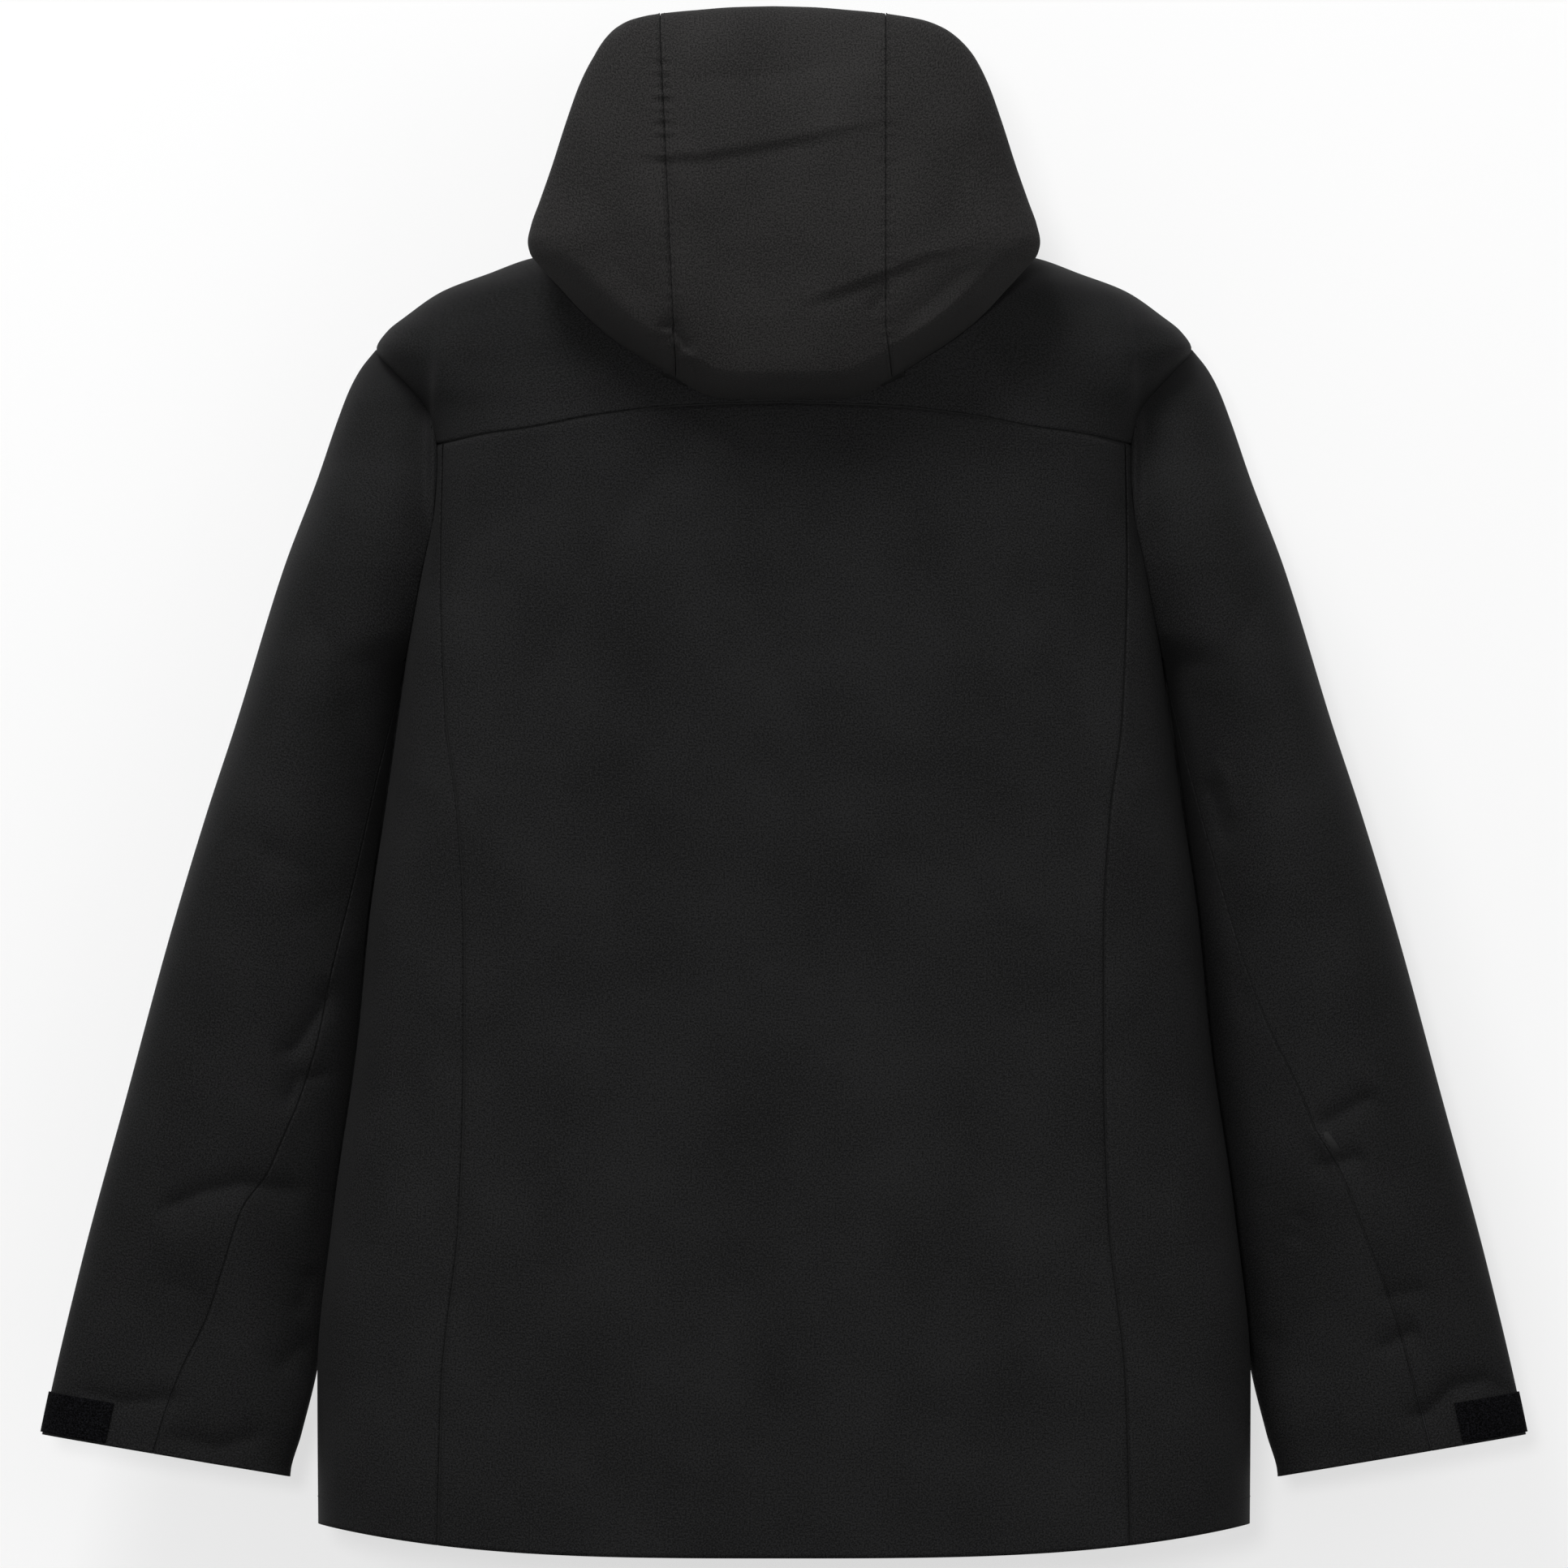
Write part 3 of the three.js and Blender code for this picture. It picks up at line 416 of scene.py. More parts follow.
BACK_FOLDS = creases(
    ([(-52, -92), (-110, -170), (-170, -290)], 2.6, 26, 20, 0.3),
    ([(60, -92), (120, -165), (165, -260)], 1.2, 22, 22, 0.3),
    ([(-190, -120), (-172, -240), (-160, -380)], 1.5, 18, 26, 0.3),
    ([(186, -120), (176, -240), (168, -360)], 1.2, 26, 18, 0.3),
    ([(-232, -420), (-215, -520), (-222, -640)], 1.5, 14, 14, 0.3),
    ([(236, -430), (222, -560), (230, -690)], 1.5, 14, 14, 0.3),
)
FRONT_FOLDS = creases(
    ([(-40, -150), (-90, -260), (-100, -380)], 2.5, 24, 20, 0.3),
    ([(45, -140), (95, -250), (120, -370)], 2.2, 24, 20, 0.3),
    ([(-200, -640), (-120, -660), (-50, -640)], 1.8, 14, 14, 0.3),
    ([(210, -600), (130, -640), (60, -650)], 1.6, 14, 14, 0.3),
)


def folded(points, back_folds, front_folds, mid_y):
    x, y, z = np.moveaxis(points, -1, 0)
    behind = np.clip((mid_y - y) / 30, 0, 1)
    ahead = np.clip((y - mid_y) / 30, 0, 1)
    push = behind * (sum(f(x, z) for f in back_folds) + soft_waves(x, z) + shoulder_drop(x, z))
    calm = np.clip((np.abs(x) - 22) / 30, 0, 1)  # none beside the zip
    push = push - ahead * calm * (sum(f(x, z) for f in front_folds) + soft_waves(x + 300, z + 50))
    out = points.copy()
    out[..., 1] = y + push
    return out


def folded_body(points):
    return folded(points, BACK_FOLDS, FRONT_FOLDS, MIDDLE_Y)


# ---- Cloth panels ----
# Each panel is one sheet, turned under where it is sewn, so that a thin dark line shows at each seam.


def unit(vectors, least=1e-9):
    return vectors / np.maximum(np.linalg.norm(vectors, axis=-1, keepdims=True), least)


def length_along(grid, axis):
    return np.linalg.norm(np.diff(grid, axis=axis, prepend=grid.take([0], axis)), axis=-1).cumsum(axis)


def corners_of(grid):
    """The four corners of each cell of a grid, in order round it."""
    return grid[:-1, :-1], grid[:-1, 1:], grid[1:, 1:], grid[1:, :-1]


def mend(mesh, weld=0.0, turn_out=False):
    """Joins points closer than weld, and turns the faces outward."""
    work = bmesh.new()
    work.from_mesh(mesh)
    if weld:
        bmesh.ops.remove_doubles(work, verts=work.verts, dist=weld)
    if turn_out:
        bmesh.ops.recalc_face_normals(work, faces=work.faces)
    work.to_mesh(mesh)
    work.free()


def outward(points, centre):
    """Unit normals of a grid of points, all pointing away from a centre."""
    normal = unit(np.cross(np.gradient(points, axis=1), np.gradient(points, axis=0)))
    away = np.einsum("ijk,ijk->ij", normal, points - centre).sum()
    return normal if away > 0 else -normal


def eased(count, edge=(0.0, 0.004, 0.010, 0.018)):
    """Even steps from 0 to 1, with a few finer ones at both ends for the turned edges."""
    middle = np.linspace(edge[-1] * 1.6, 1 - edge[-1] * 1.6, count)
    return np.concatenate([edge, middle, 1 - np.array(edge)[::-1]])


cloths = {}
sewn_on = {}


def cloth_piece(name, points, material, body, thickness=1.0, turned="", closed=False):
    """A sheet through a grid of points in mm, turned under at the edges named: e, w, s, n."""
    rows, columns = points.shape[:2]
    centre = points.reshape(-1, 3).mean(0)
    centre = np.array([centre[0] * 0.6, MIDDLE_Y + 5, centre[2]]) if abs(centre[0]) < 230 else centre
    normal = outward(points, centre)
    tuck = np.zeros((rows, columns))
    for edge, place in {"s": np.s_[0, :], "n": np.s_[-1, :], "w": np.s_[:, 0], "e": np.s_[:, -1]}.items():
        if edge in turned:
            tuck[place] = 1
    shaped = points - normal * (tuck * 0.7)[..., None]
    across, upward = length_along(points, 1), length_along(points, 0)
    flip = np.einsum(
        "ijk,ijk->ij", np.cross(np.gradient(points, axis=1), np.gradient(points, axis=0)), normal
    ).sum() > 0
    mesh = bpy.data.meshes.new(name)
    a, b, c, d = corners_of(np.arange(rows * columns).reshape(rows, columns))
    quads = np.stack([a, d, c, b] if not flip else [a, b, c, d], -1).reshape(-1, 4)
    mesh.from_pydata((shaped * MM).reshape(-1, 3).tolist(), [], quads.tolist())
    layer = mesh.uv_layers.new(name="cut")
    flat = np.stack([across, upward], -1).reshape(-1, 2) * MM
    layer.data.foreach_set("uv", flat[quads.reshape(-1)].reshape(-1))
    if closed:
        mend(mesh, weld=1e-5)
    mesh.polygons.foreach_set("use_smooth", [True] * len(mesh.polygons))
    piece = placed(name, mesh)
    mesh.materials.append(material)
    solidify = piece.modifiers.new("thickness", "SOLIDIFY")
    solidify.thickness = thickness * MM
    solidify.offset = -1
    if body:
        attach(piece, body)
    a, b, c, d = corners_of(points)
    area = 0.5 * np.linalg.norm(np.cross(c - a, d - b), axis=-1).sum() * MM**2
    cloths[name] = (piece, points, normal, (across.max() * MM, upward.max() * MM), area)
    sewn_on[name] = []
    return piece


def beside(name, edge, distance):
    """The line that keeps a distance in mm from an edge of a cloth piece, and the way out of the cloth along it."""
    grids = cloths[name][1:3]
    if edge in "sn":
        grids = [g.transpose(1, 0, 2) for g in grids]
    if edge in "en":
        grids = [g[:, ::-1] for g in grids]
    grid, out = grids
    reach = length_along(grid, 1)
    k = np.clip((reach > distance).argmax(1), 1, None)
    row = np.arange(len(grid))
    share = (distance - reach[row, k - 1]) / np.maximum(reach[row, k] - reach[row, k - 1], 1e-6)
    share = np.clip(share, 0, 1)[:, None]
    return grid[row, k - 1] * (1 - share) + grid[row, k] * share, out[row, k]


def plain_mesh(name, corners, faces, material, body):
    mesh = bpy.data.meshes.new(name)
    mesh.from_pydata((np.array(corners) * MM).tolist(), [], faces)
    mesh.materials.append(material)
    piece = placed(name, mesh)
    if body:
        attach(piece, body)
    return piece


def stitched(name, rows, body, pitch=3.3, length=2.3):
    """Short stitches sunk into a cloth piece along rows, each given as an edge and a distance from it."""
    corners, faces = [], []
    for edge, distance in rows:
        line, out = beside(name, edge, distance)
        along = np.concatenate([[0], np.linalg.norm(np.diff(line, axis=0), axis=-1).cumsum()])
        starts = np.arange(pitch, along[-1] - pitch, pitch)
        at = lambda s, values: np.stack([np.interp(starts + s, along, values[:, i]) for i in range(3)], -1)
        a, middle, b, up = at(0, line), at(length / 2, line), at(length, line), at(length / 2, out)
        side = unit(np.cross(b - a, up))
        ring = [middle + 0.28 * up, middle - 0.3 * side, middle - 0.3 * up, middle + 0.3 * side]
        for six in zip(a - 0.12 * up, b - 0.12 * up, *ring):
            n = len(corners)
            corners.extend(six)
            for i in range(4):
                j = (i + 1) % 4
                faces += [(n + 2 + i, n + 2 + j, n + 1), (n + 2 + j, n + 2 + i, n)]
    piece = plain_mesh(f"{name}_stitches", corners, faces, thread, body)
    sewn_on[name].append(piece)
    return piece


def seam_taped(name, edge, body, depth=1.5, label=""):
    """A strip of tape that seals a seam from inside, from 8 mm within an edge of a cloth piece to 7 mm past it."""
    lines = [beside(name, edge, d) for d in (8, 5, 2, 0)]
    edge_line, out = lines[-1]
    lead = unit(edge_line - lines[1][0], 1e-6)
    strip = [line - depth * way for line, way in lines] + [
        edge_line + lead * d - (depth + sink) * out for d, sink in ((2.5, 0.2), (5, 0.7), (7, 1.3))
    ]
    strip = np.array(strip).transpose(1, 0, 2)
    rows, columns = strip.shape[:2]
    inner = strip - 0.3 * out[:, None]
    index = np.arange(rows * columns).reshape(rows, columns)
    quads = np.stack([corner.ravel() for corner in corners_of(index)], -1)
    facing = np.cross(strip[1, 1] - strip[0, 0], strip[1, 0] - strip[0, 1])
    if facing @ out[0] < 0:
        quads = quads[:, ::-1]
    n = rows * columns
    rim = np.concatenate([index[0], index[1:, -1], index[-1, -2::-1], index[-2:0:-1, 0]])
    faces = quads.tolist() + (quads[:, ::-1] + n).tolist()
    faces += [[int(p), int(q), int(q) + n, int(p) + n] for p, q in zip(rim, np.roll(rim, -1))]
    piece = plain_mesh(f"{name}_tape{label}", np.concatenate([strip, inner]).reshape(-1, 3), faces, woven_tape, body)
    mend(piece.data, weld=1e-6, turn_out=True)
    piece.data.polygons.foreach_set("use_smooth", [True] * len(piece.data.polygons))
    sewn_on[name].append(piece)
    return piece


def body_panel(bottom, top, near, far, rows, columns):
    """A grid over the body between two heights that depend on x and two turns that depend on height."""
    v = eased(rows)[:, None]
    u = eased(columns)[None, :]
    r = run_at(bottom(np.zeros_like(u)) * (1 - v) + top(np.zeros_like(u)) * v)
    for _ in range(6):
        turn = near(r) * (1 - u) + far(r) * u
        x = body_point(r, turn)[..., 0]
        r = run_at(bottom(x)) * (1 - v) + run_at(top(x)) * v
    return body_point(r, near(r) * (1 - u) + far(r) * u)


def flipped(points):
    return points * np.array([-1, 1, 1])


HANDS = (("right", lambda p: p), ("left", flipped))


def hem_edge(x):
    return HEM_Z + 18 * (np.abs(x) / 268) ** 3.2


yoke_seam = smooth_line((0, -80), (60, -82), (110, -87.5), (150, -95), (175, -98.5), (208, -105), (300, -112))
back_seam = smooth_line(
    (-790, 205), (-730, 204), (-658, 202), (-562, 192), (-466, 189), (-394, 189), (-322, 193), (-266, 200),
    (-178, 203), (-105, 202), (0, 200),
)
SEAM = 0.35
SEAM_STITCHES = 2.4
HEM_STITCHES = 16


def under_yoke(x):
    return yoke_seam(np.abs(x)) - SEAM


def at_back_seam(r, gap):
    return turn_at_x(r, back_seam(body_z(r)) + gap)


back = body_panel(
    hem_edge, under_yoke, lambda r: -at_back_seam(r, -SEAM), lambda r: at_back_seam(r, -SEAM), rows=210, columns=124
)
back = folded_body(back)
piece = cloth_piece("back_panel_cloth", back, shell_cloth, "torso", turned="ewn")
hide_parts("back_panel")
stitched("back_panel_cloth", [("e", SEAM_STITCHES), ("w", SEAM_STITCHES), ("s", HEM_STITCHES)], "torso")

# ---- Side and front panels ----
# The side panels wrap forward from the two long back seams. The fronts run from there to the zip.
SIDE_SEAM_Y = 96
ZIP_SLOT = 14

side = body_panel(
    hem_edge, under_yoke, lambda r: at_back_seam(r, SEAM), lambda r: turn_at_y(r, SIDE_SEAM_Y - SEAM),
    rows=200, columns=44,
)
front = body_panel(
    hem_edge, under_yoke, lambda r: turn_at_y(r, SIDE_SEAM_Y + SEAM),
    lambda r: turn_at_x(r, ZIP_SLOT / 2, FRONT_FLATNESS), rows=200, columns=76,
)
for hand, mirror in HANDS:
    shape = folded_body(mirror(side))
    piece = cloth_piece(f"side_panel_cloth_{hand}", shape, shell_cloth, "torso", turned="ewn")
    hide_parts(f"side_panel_{hand}")
    stitched(f"side_panel_cloth_{hand}", [("s", HEM_STITCHES)], "torso")
    seam_taped(f"side_panel_cloth_{hand}", "w", "torso")
    seam_taped(f"side_panel_cloth_{hand}", "e", "torso", label="_front")
    shape = folded_body(mirror(front))
    piece = cloth_piece(f"front_panel_cloth_{hand}", shape, shell_cloth, "torso", turned="ewn")
    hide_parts(f"front_panel_{hand}")
    stitched(f"front_panel_cloth_{hand}", [("s", HEM_STITCHES), ("w", SEAM_STITCHES), ("e", 7)], "torso")

# ---- Yokes and collar ----
# The yoke runs over both shoulders, in a back piece and two front pieces, and carries the collar.


def yoke_panel(near, far, rows, columns):
    v = eased(rows)[:, None]
    u = eased(columns)[None, :]
    turn = near + (far - near) * u
    x = np.full((1, u.shape[1]), 150.0)
    for _ in range(30):
        low = run_at(yoke_seam(np.abs(x)) + SEAM)
        x = 0.5 * x + 0.5 * body_point(low, turn)[..., 0]
    r = low * (1 - v) + run_at(NECK_Z) * v
    return body_point(r, turn)


quarter = math.pi / 2
back_yoke = folded_body(yoke_panel(-quarter, quarter, 90, 150))
piece = cloth_piece("back_yoke_cloth", back_yoke, shell_cloth, "torso", turned="s")
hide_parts("back_yoke")
stitched("back_yoke_cloth", [("s", SEAM_STITCHES)], "torso")
seam_taped("back_yoke_cloth", "s", "torso")
for hand, mirror in HANDS:
    shape = yoke_panel(quarter, math.pi, 90, 76)
    shape[..., 0] = np.maximum(shape[..., 0], ZIP_SLOT / 2)
    shape = folded_body(mirror(shape))
    piece = cloth_piece(f"front_yoke_cloth_{hand}", shape, shell_cloth, "torso", turned="s")
    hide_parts(f"front_yoke_{hand}")
    stitched(f"front_yoke_cloth_{hand}", [("s", SEAM_STITCHES)], "torso")
    seam_taped(f"front_yoke_cloth_{hand}", "s", "torso")

collar_turn = math.pi - math.asin(ZIP_SLOT / 2 / 88)
v = eased(14)[:, None]
u = eased(120)[None, :]
collar = body_point(run_at(NECK_Z + 0.2 + (COLLAR_TOP_Z - NECK_Z - 0.4) * v) + 0 * u, collar_turn * (2 * u - 1) + 0 * v)
at_front = collar[..., 1] > 110
collar[at_front, 0] = np.sign(collar[at_front, 0]) * np.maximum(np.abs(collar[at_front, 0]), ZIP_SLOT / 2)
piece = cloth_piece("collar_cloth", collar, shell_cloth, "torso", thickness=2.2, turned="n")
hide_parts("collar")

# ---- Sleeves ----
# Each sleeve is set into its armhole, hangs close beside the body and reaches a little in front of it.
CUFF_OUTER = (439, -690)
CUFF_INNER = (292, -715)
UNDERARM_Z = -236
SLEEVE_CLEAR = 1.2
sleeve_outer = smooth_line(
    (-730, 446), (-690, 439), (-590, 416), (-490, 389), (-394, 363), (-324, 342), (-269, 324), (-178, 296),
    (-125, 276), (-90, 264), (-72, 257), (-60, 250.5), (-48, 241),
)
sleeve_inner = smooth_line(
    (-730, 288), (-715, 292), (-690, 285.5), (-656, 277), (-620, 270.5), (-590, 266.5), (-490, 252), (-394, 241),
    (-300, 229.5), (-236, 221), (-214, 200), (-150, 182), (-100, 184), (-48, 200),
)
sleeve_back = smooth_line(
    (-730, 24), (-700, 26), (-640, 33), (-560, 43), (-450, 52), (-266, 62), (-150, 62), (-80, 46), (-48, 22)
)
sleeve_front = smooth_line(
    (-730, 28), (-700, 29), (-600, 40), (-450, 50), (-266, 56), (-150, 58), (-80, 46), (-48, 22)
)
sleeve_y_outer = smooth_line((-730, 70), (-500, 68), (-250, 66), (-48, 62))
sleeve_y_inner = smooth_line((-730, 72), (-690, 74), (-640, 84), (-560, 90), (-300, 92), (-236, 86), (-48, 66))


def sleeve_point(z, around):
    """around is 0 at the outer edge, up to half a turn at the inner edge: positive behind, negative in front."""
    outer, inner = sleeve_outer(z), sleeve_inner(z)
    c = np.cos(around)
    x = (outer + inner) / 2 + (outer - inner) / 2 * c
    middle = (sleeve_y_outer(z) + sleeve_y_inner(z)) / 2 + (sleeve_y_outer(z) - sleeve_y_inner(z)) / 2 * c
    swell = np.abs(np.sin(around)) ** 0.92
    y = middle - np.where(np.sin(around) > 0, sleeve_back(z), -sleeve_front(z)) * swell
    return np.stack([x, y, z + 0 * x], -1)


def body_section(y, z):
    """The body's half-width at a height, its flatness, and how far out Y is as a share of its depth."""
    r = run_at(z)
    n = np.where(y < MIDDLE_Y, BACK_FLATNESS, FRONT_FLATNESS)
    depth = np.where(y < MIDDLE_Y, body_back(r), front_depth(z))
    return body_half(r), n, np.abs(y - MIDDLE_Y) / depth


def inside_body(points):
    x, y, z = np.moveaxis(points, -1, 0)
    half, n, out = body_section(y, z)
    return (np.abs(x) / half) ** n + out**n - 1


def armhole_turns(z, sign):
    """How far round the sleeve runs at each height before it meets the body."""
    around = np.linspace(0.02, math.pi, 900)[None, :]
    depth = inside_body(sleeve_point(z[:, None], sign * around))
    hits = depth < 0
    first = np.where(hits.any(1), hits.argmax(1), around.shape[1] - 1)
    return np.where(hits.any(1), around[0, first], math.pi)


def cuff_edge(x):
    return CUFF_INNER[1] + (x - CUFF_INNER[0]) * (CUFF_OUTER[1] - CUFF_INNER[1]) / (CUFF_OUTER[0] - CUFF_INNER[0])


def off_the_body(points):
    """Below the armhole the sleeve lies against the body's side, and doesn't go through it."""
    x, y, z = np.moveaxis(points, -1, 0)
    half, n, out = body_section(y, z)
    limit = half * np.clip(1 - out**n, 0, 1) ** (1 / n) + SLEEVE_CLEAR
    ease = np.clip((UNDERARM_Z + 4 - z) / 20, 0, 1)
    out = points.copy()
    out[..., 0] = np.where(x < limit, x + (limit - x) * ease, x)
    return out


elbow_seam = smooth_line(
    (-720, 384), (-705, 383), (-653, 371), (-614, 360), (-581, 347), (-533, 328), (-511, 315), (-485, 304),
    (-446, 285), (-408, 271), (-358, 256), (-300, 240), (-240, 225),
)
elbow_seam_left = smooth_line(
    (-720, 378), (-702, 373.5), (-670, 364.5), (-644, 354.5), (-617, 340.5), (-589, 331), (-556, 320), (-535, 305),
    (-517, 297), (-491, 286), (-455, 275), (-429, 270), (-358, 253), (-300, 240), (-240, 225),
)


def turn_of_x(z, x, sign):
    around = np.linspace(0, math.pi, 700)
    line = sleeve_point(z[:, None], sign * around[None, :])[..., 0]
    return np.array([np.interp(-xi, -row, around) for xi, row in zip(x, line)])


SLEEVE_TOP_Z = -48.6
rise = np.linspace(0, 1, 290) ** 0.96
rise = np.concatenate([[0, 0.002, 0.006], rise[2:]])
level = CUFF_OUTER[1] + (SLEEVE_TOP_Z - CUFF_OUTER[1]) * rise
behind_end, ahead_end = armhole_turns(level, 1), armhole_turns(level, -1)
shut = level < UNDERARM_Z + 3
behind_end = np.where(shut, math.pi, behind_end)
ahead_end = np.where(shut, math.pi, ahead_end)


def sleeve_grid(start, end, columns):
    """A grid on the sleeve between two turns at each level, with its lowest rows drawn down to the slanting cuff."""
    u = eased(columns)[None, :]
    around = start[:, None] + (end - start)[:, None] * u
    low = np.clip((-560 - level) / 130, 0, 1)[:, None] ** 1.5
    z = level[:, None] + 0 * u
    for _ in range(5):
        x = sleeve_point(z, around)[..., 0]
        z = level[:, None] + low * (cuff_edge(x) - CUFF_OUTER[1])
    return off_the_body(sleeve_point(z, around))


SLEEVE_FOLDS = {
    "left": creases(
        ([(-374, -560), (-344, -546), (-320, -541), (-277, -547)], 3.4, 13, 7, 0.15),
        ([(-303, -466), (-288, -461), (-274, -439), (-267, -420)], 3.6, 6, 8, 0.2),
        ([(-296, -500), (-288, -480), (-262, -476)], 2.4, 7, 7, 0.25),
        ([(-279, -590), (-282, -606), (-290, -622)], 3.5, 8, 9, 0.2),
        ([(-300, -655), (-290, -642), (-276, -632)], 3.4, 7, 7, 0.2),
        ([(-424, -662), (-392, -671), (-351, -668)], 2.6, 8, 6, 0.2),
        ([(-368, -690), (-334, -698), (-303, -688)], 2.6, 6, 7, 0.2),
        ([(-380, -590), (-345, -610), (-320, -640)], 1.8, 14, 14, 0.3),
        ([(-330, -330), (-280, -360), (-252, -400)], 3.0, 22, 16, 0.3),
        ([(-300, -180), (-262, -230), (-246, -300)], 2.4, 20, 16, 0.3),
    ),
    "right": creases(
        ([(352, -487), (328, -501), (312, -510)], 3.2, 7, 7, 0.2),
        ([(345, -525), (324, -529), (312, -534)], 2.6, 6, 7, 0.2),
        ([(312, -505), (320, -520), (326, -538)], -1.6, 4, 4, 0.25),
        ([(300, -556), (308, -566), (300, -580)], 2.0, 6, 6, 0.25),
        ([(279, -625), (285, -610), (295, -584)], -1.8, 4, 4, 0.25),
        ([(270, -627), (283, -633), (297, -637)], 3.4, 5, 6, 0.2),
        ([(350, -610), (364, -607), (383, -604)], 1.8, 6, 6, 0.25),
        ([(377, -627), (364, -633), (350, -642)], 2.6, 6, 6, 0.2),
        ([(436, -670), (415, -657), (395, -662), (381, -676), (364, -681)], 3.6, 6, 8, 0.15),
        ([(254, -288), (262, -306), (266, -328)], -1.8, 4, 5, 0.25),
        ([(248, -300), (256, -318), (262, -345)], 2.4, 5, 6, 0.25),
        ([(286, -560), (292, -600), (286, -640)], 2.2, 12, 12, 0.3),
        ([(300, -160), (262, -230), (250, -300)], 2.4, 16, 20, 0.3),
    ),
}
SLEEVE_MIDDLE_Y = 75


def folded_sleeve(points, hand):
    return folded(points, SLEEVE_FOLDS[hand], FRONT_FOLDS, SLEEVE_MIDDLE_Y)


def swings_with(piece, hand):
    """Bakes the piece's place in the world into its mesh."""
    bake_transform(piece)


for hand, mirror, seam in (("right", lambda p: p, elbow_seam), ("left", flipped, elbow_seam_left)):
    elbow_behind = np.where(shut, turn_of_x(level, seam(level), 1), math.pi)
    elbow_ahead = np.where(shut, turn_of_x(level, seam(level), -1), math.pi)
    for name, edge in (
        ("sleeve_back", np.minimum(elbow_behind - 0.004, behind_end)),
        ("sleeve_front", -np.minimum(elbow_ahead - 0.004, ahead_end)),
    ):
        shape = folded_sleeve(mirror(sleeve_grid(np.zeros(len(level)), edge, 56)), hand)
        piece = cloth_piece(f"{name}_cloth_{hand}", shape, shell_cloth, None, turned="e")
        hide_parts(f"{name}_{hand}")
        swings_with(piece, hand)
        swings_with(stitched(f"{name}_cloth_{hand}", [("e", SEAM_STITCHES), ("s", 34)], None), hand)
    under = sleeve_grid(elbow_behind + 0.004, 2 * math.pi - elbow_ahead - 0.004, 60)[: shut.sum()]
    under = folded_sleeve(mirror(under), hand)
    piece = cloth_piece(f"sleeve_under_cloth_{hand}", under, shell_cloth, None, turned="we")
    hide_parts(f"sleeve_under_{hand}")
    swings_with(piece, hand)
    swings_with(seam_taped(f"sleeve_under_cloth_{hand}", "w", None), hand)
    swings_with(seam_taped(f"sleeve_under_cloth_{hand}", "e", None, label="_front"), hand)

# ---- Cuffs ----
# A fuzzy loop patch wraps the outer edge of each cuff, and a stiffened tab with a patch of hooks under
# it closes over it from the front. The cuff is faced inside with lining.


def on_cuff(from_turn, to_turn, low, high, lift, rows, columns):
    """A grid on the cuff between two turns, and between two distances up from its edge, lifted off the cloth."""
    v = np.linspace(0, 1, rows)[:, None]
    u = np.linspace(0, 1, columns)[None, :]
    around = from_turn + (to_turn - from_turn) * u + 0 * v
    z = np.full(around.shape, float(CUFF_OUTER[1]))
    for _ in range(8):
        z = cuff_edge(sleeve_point(z, around)[..., 0]) + low + (high - low) * v
    points = sleeve_point(z, around)
    middle = np.stack([(sleeve_outer(z) + sleeve_inner(z)) / 2, (sleeve_y_outer(z) + sleeve_y_inner(z)) / 2, z], -1)
    normal = np.cross(np.gradient(points, axis=1), np.gradient(points, axis=0))
    normal /= np.linalg.norm(normal, axis=-1, keepdims=True)
    normal *= np.sign(np.einsum("ijk,ijk->ij", normal, points - middle))[..., None]
    return points + normal * lift


def cuff_turn(x, sign):
    return sign * turn_of_x(np.array([float(CUFF_OUTER[1])]), [x], sign)[0]


loop_pile, nodes, links, shader = node_material("loop_pile")
shader.inputs["Roughness"].default_value = 1
shader.inputs["Specular IOR Level"].default_value = 0.05
where = nodes.new("ShaderNodeTexCoord")
fuzz = noise_node(nodes, links, 1100, 5, where.outputs["Object"])
colour_ramp(nodes, links, shader, fuzz, (0.42, (0.0004, 0.0004, 0.0005)), (0.72, (0.008, 0.008, 0.0095)))
raise_surface(nodes, links, shader, fuzz, 0.9, 0.001)

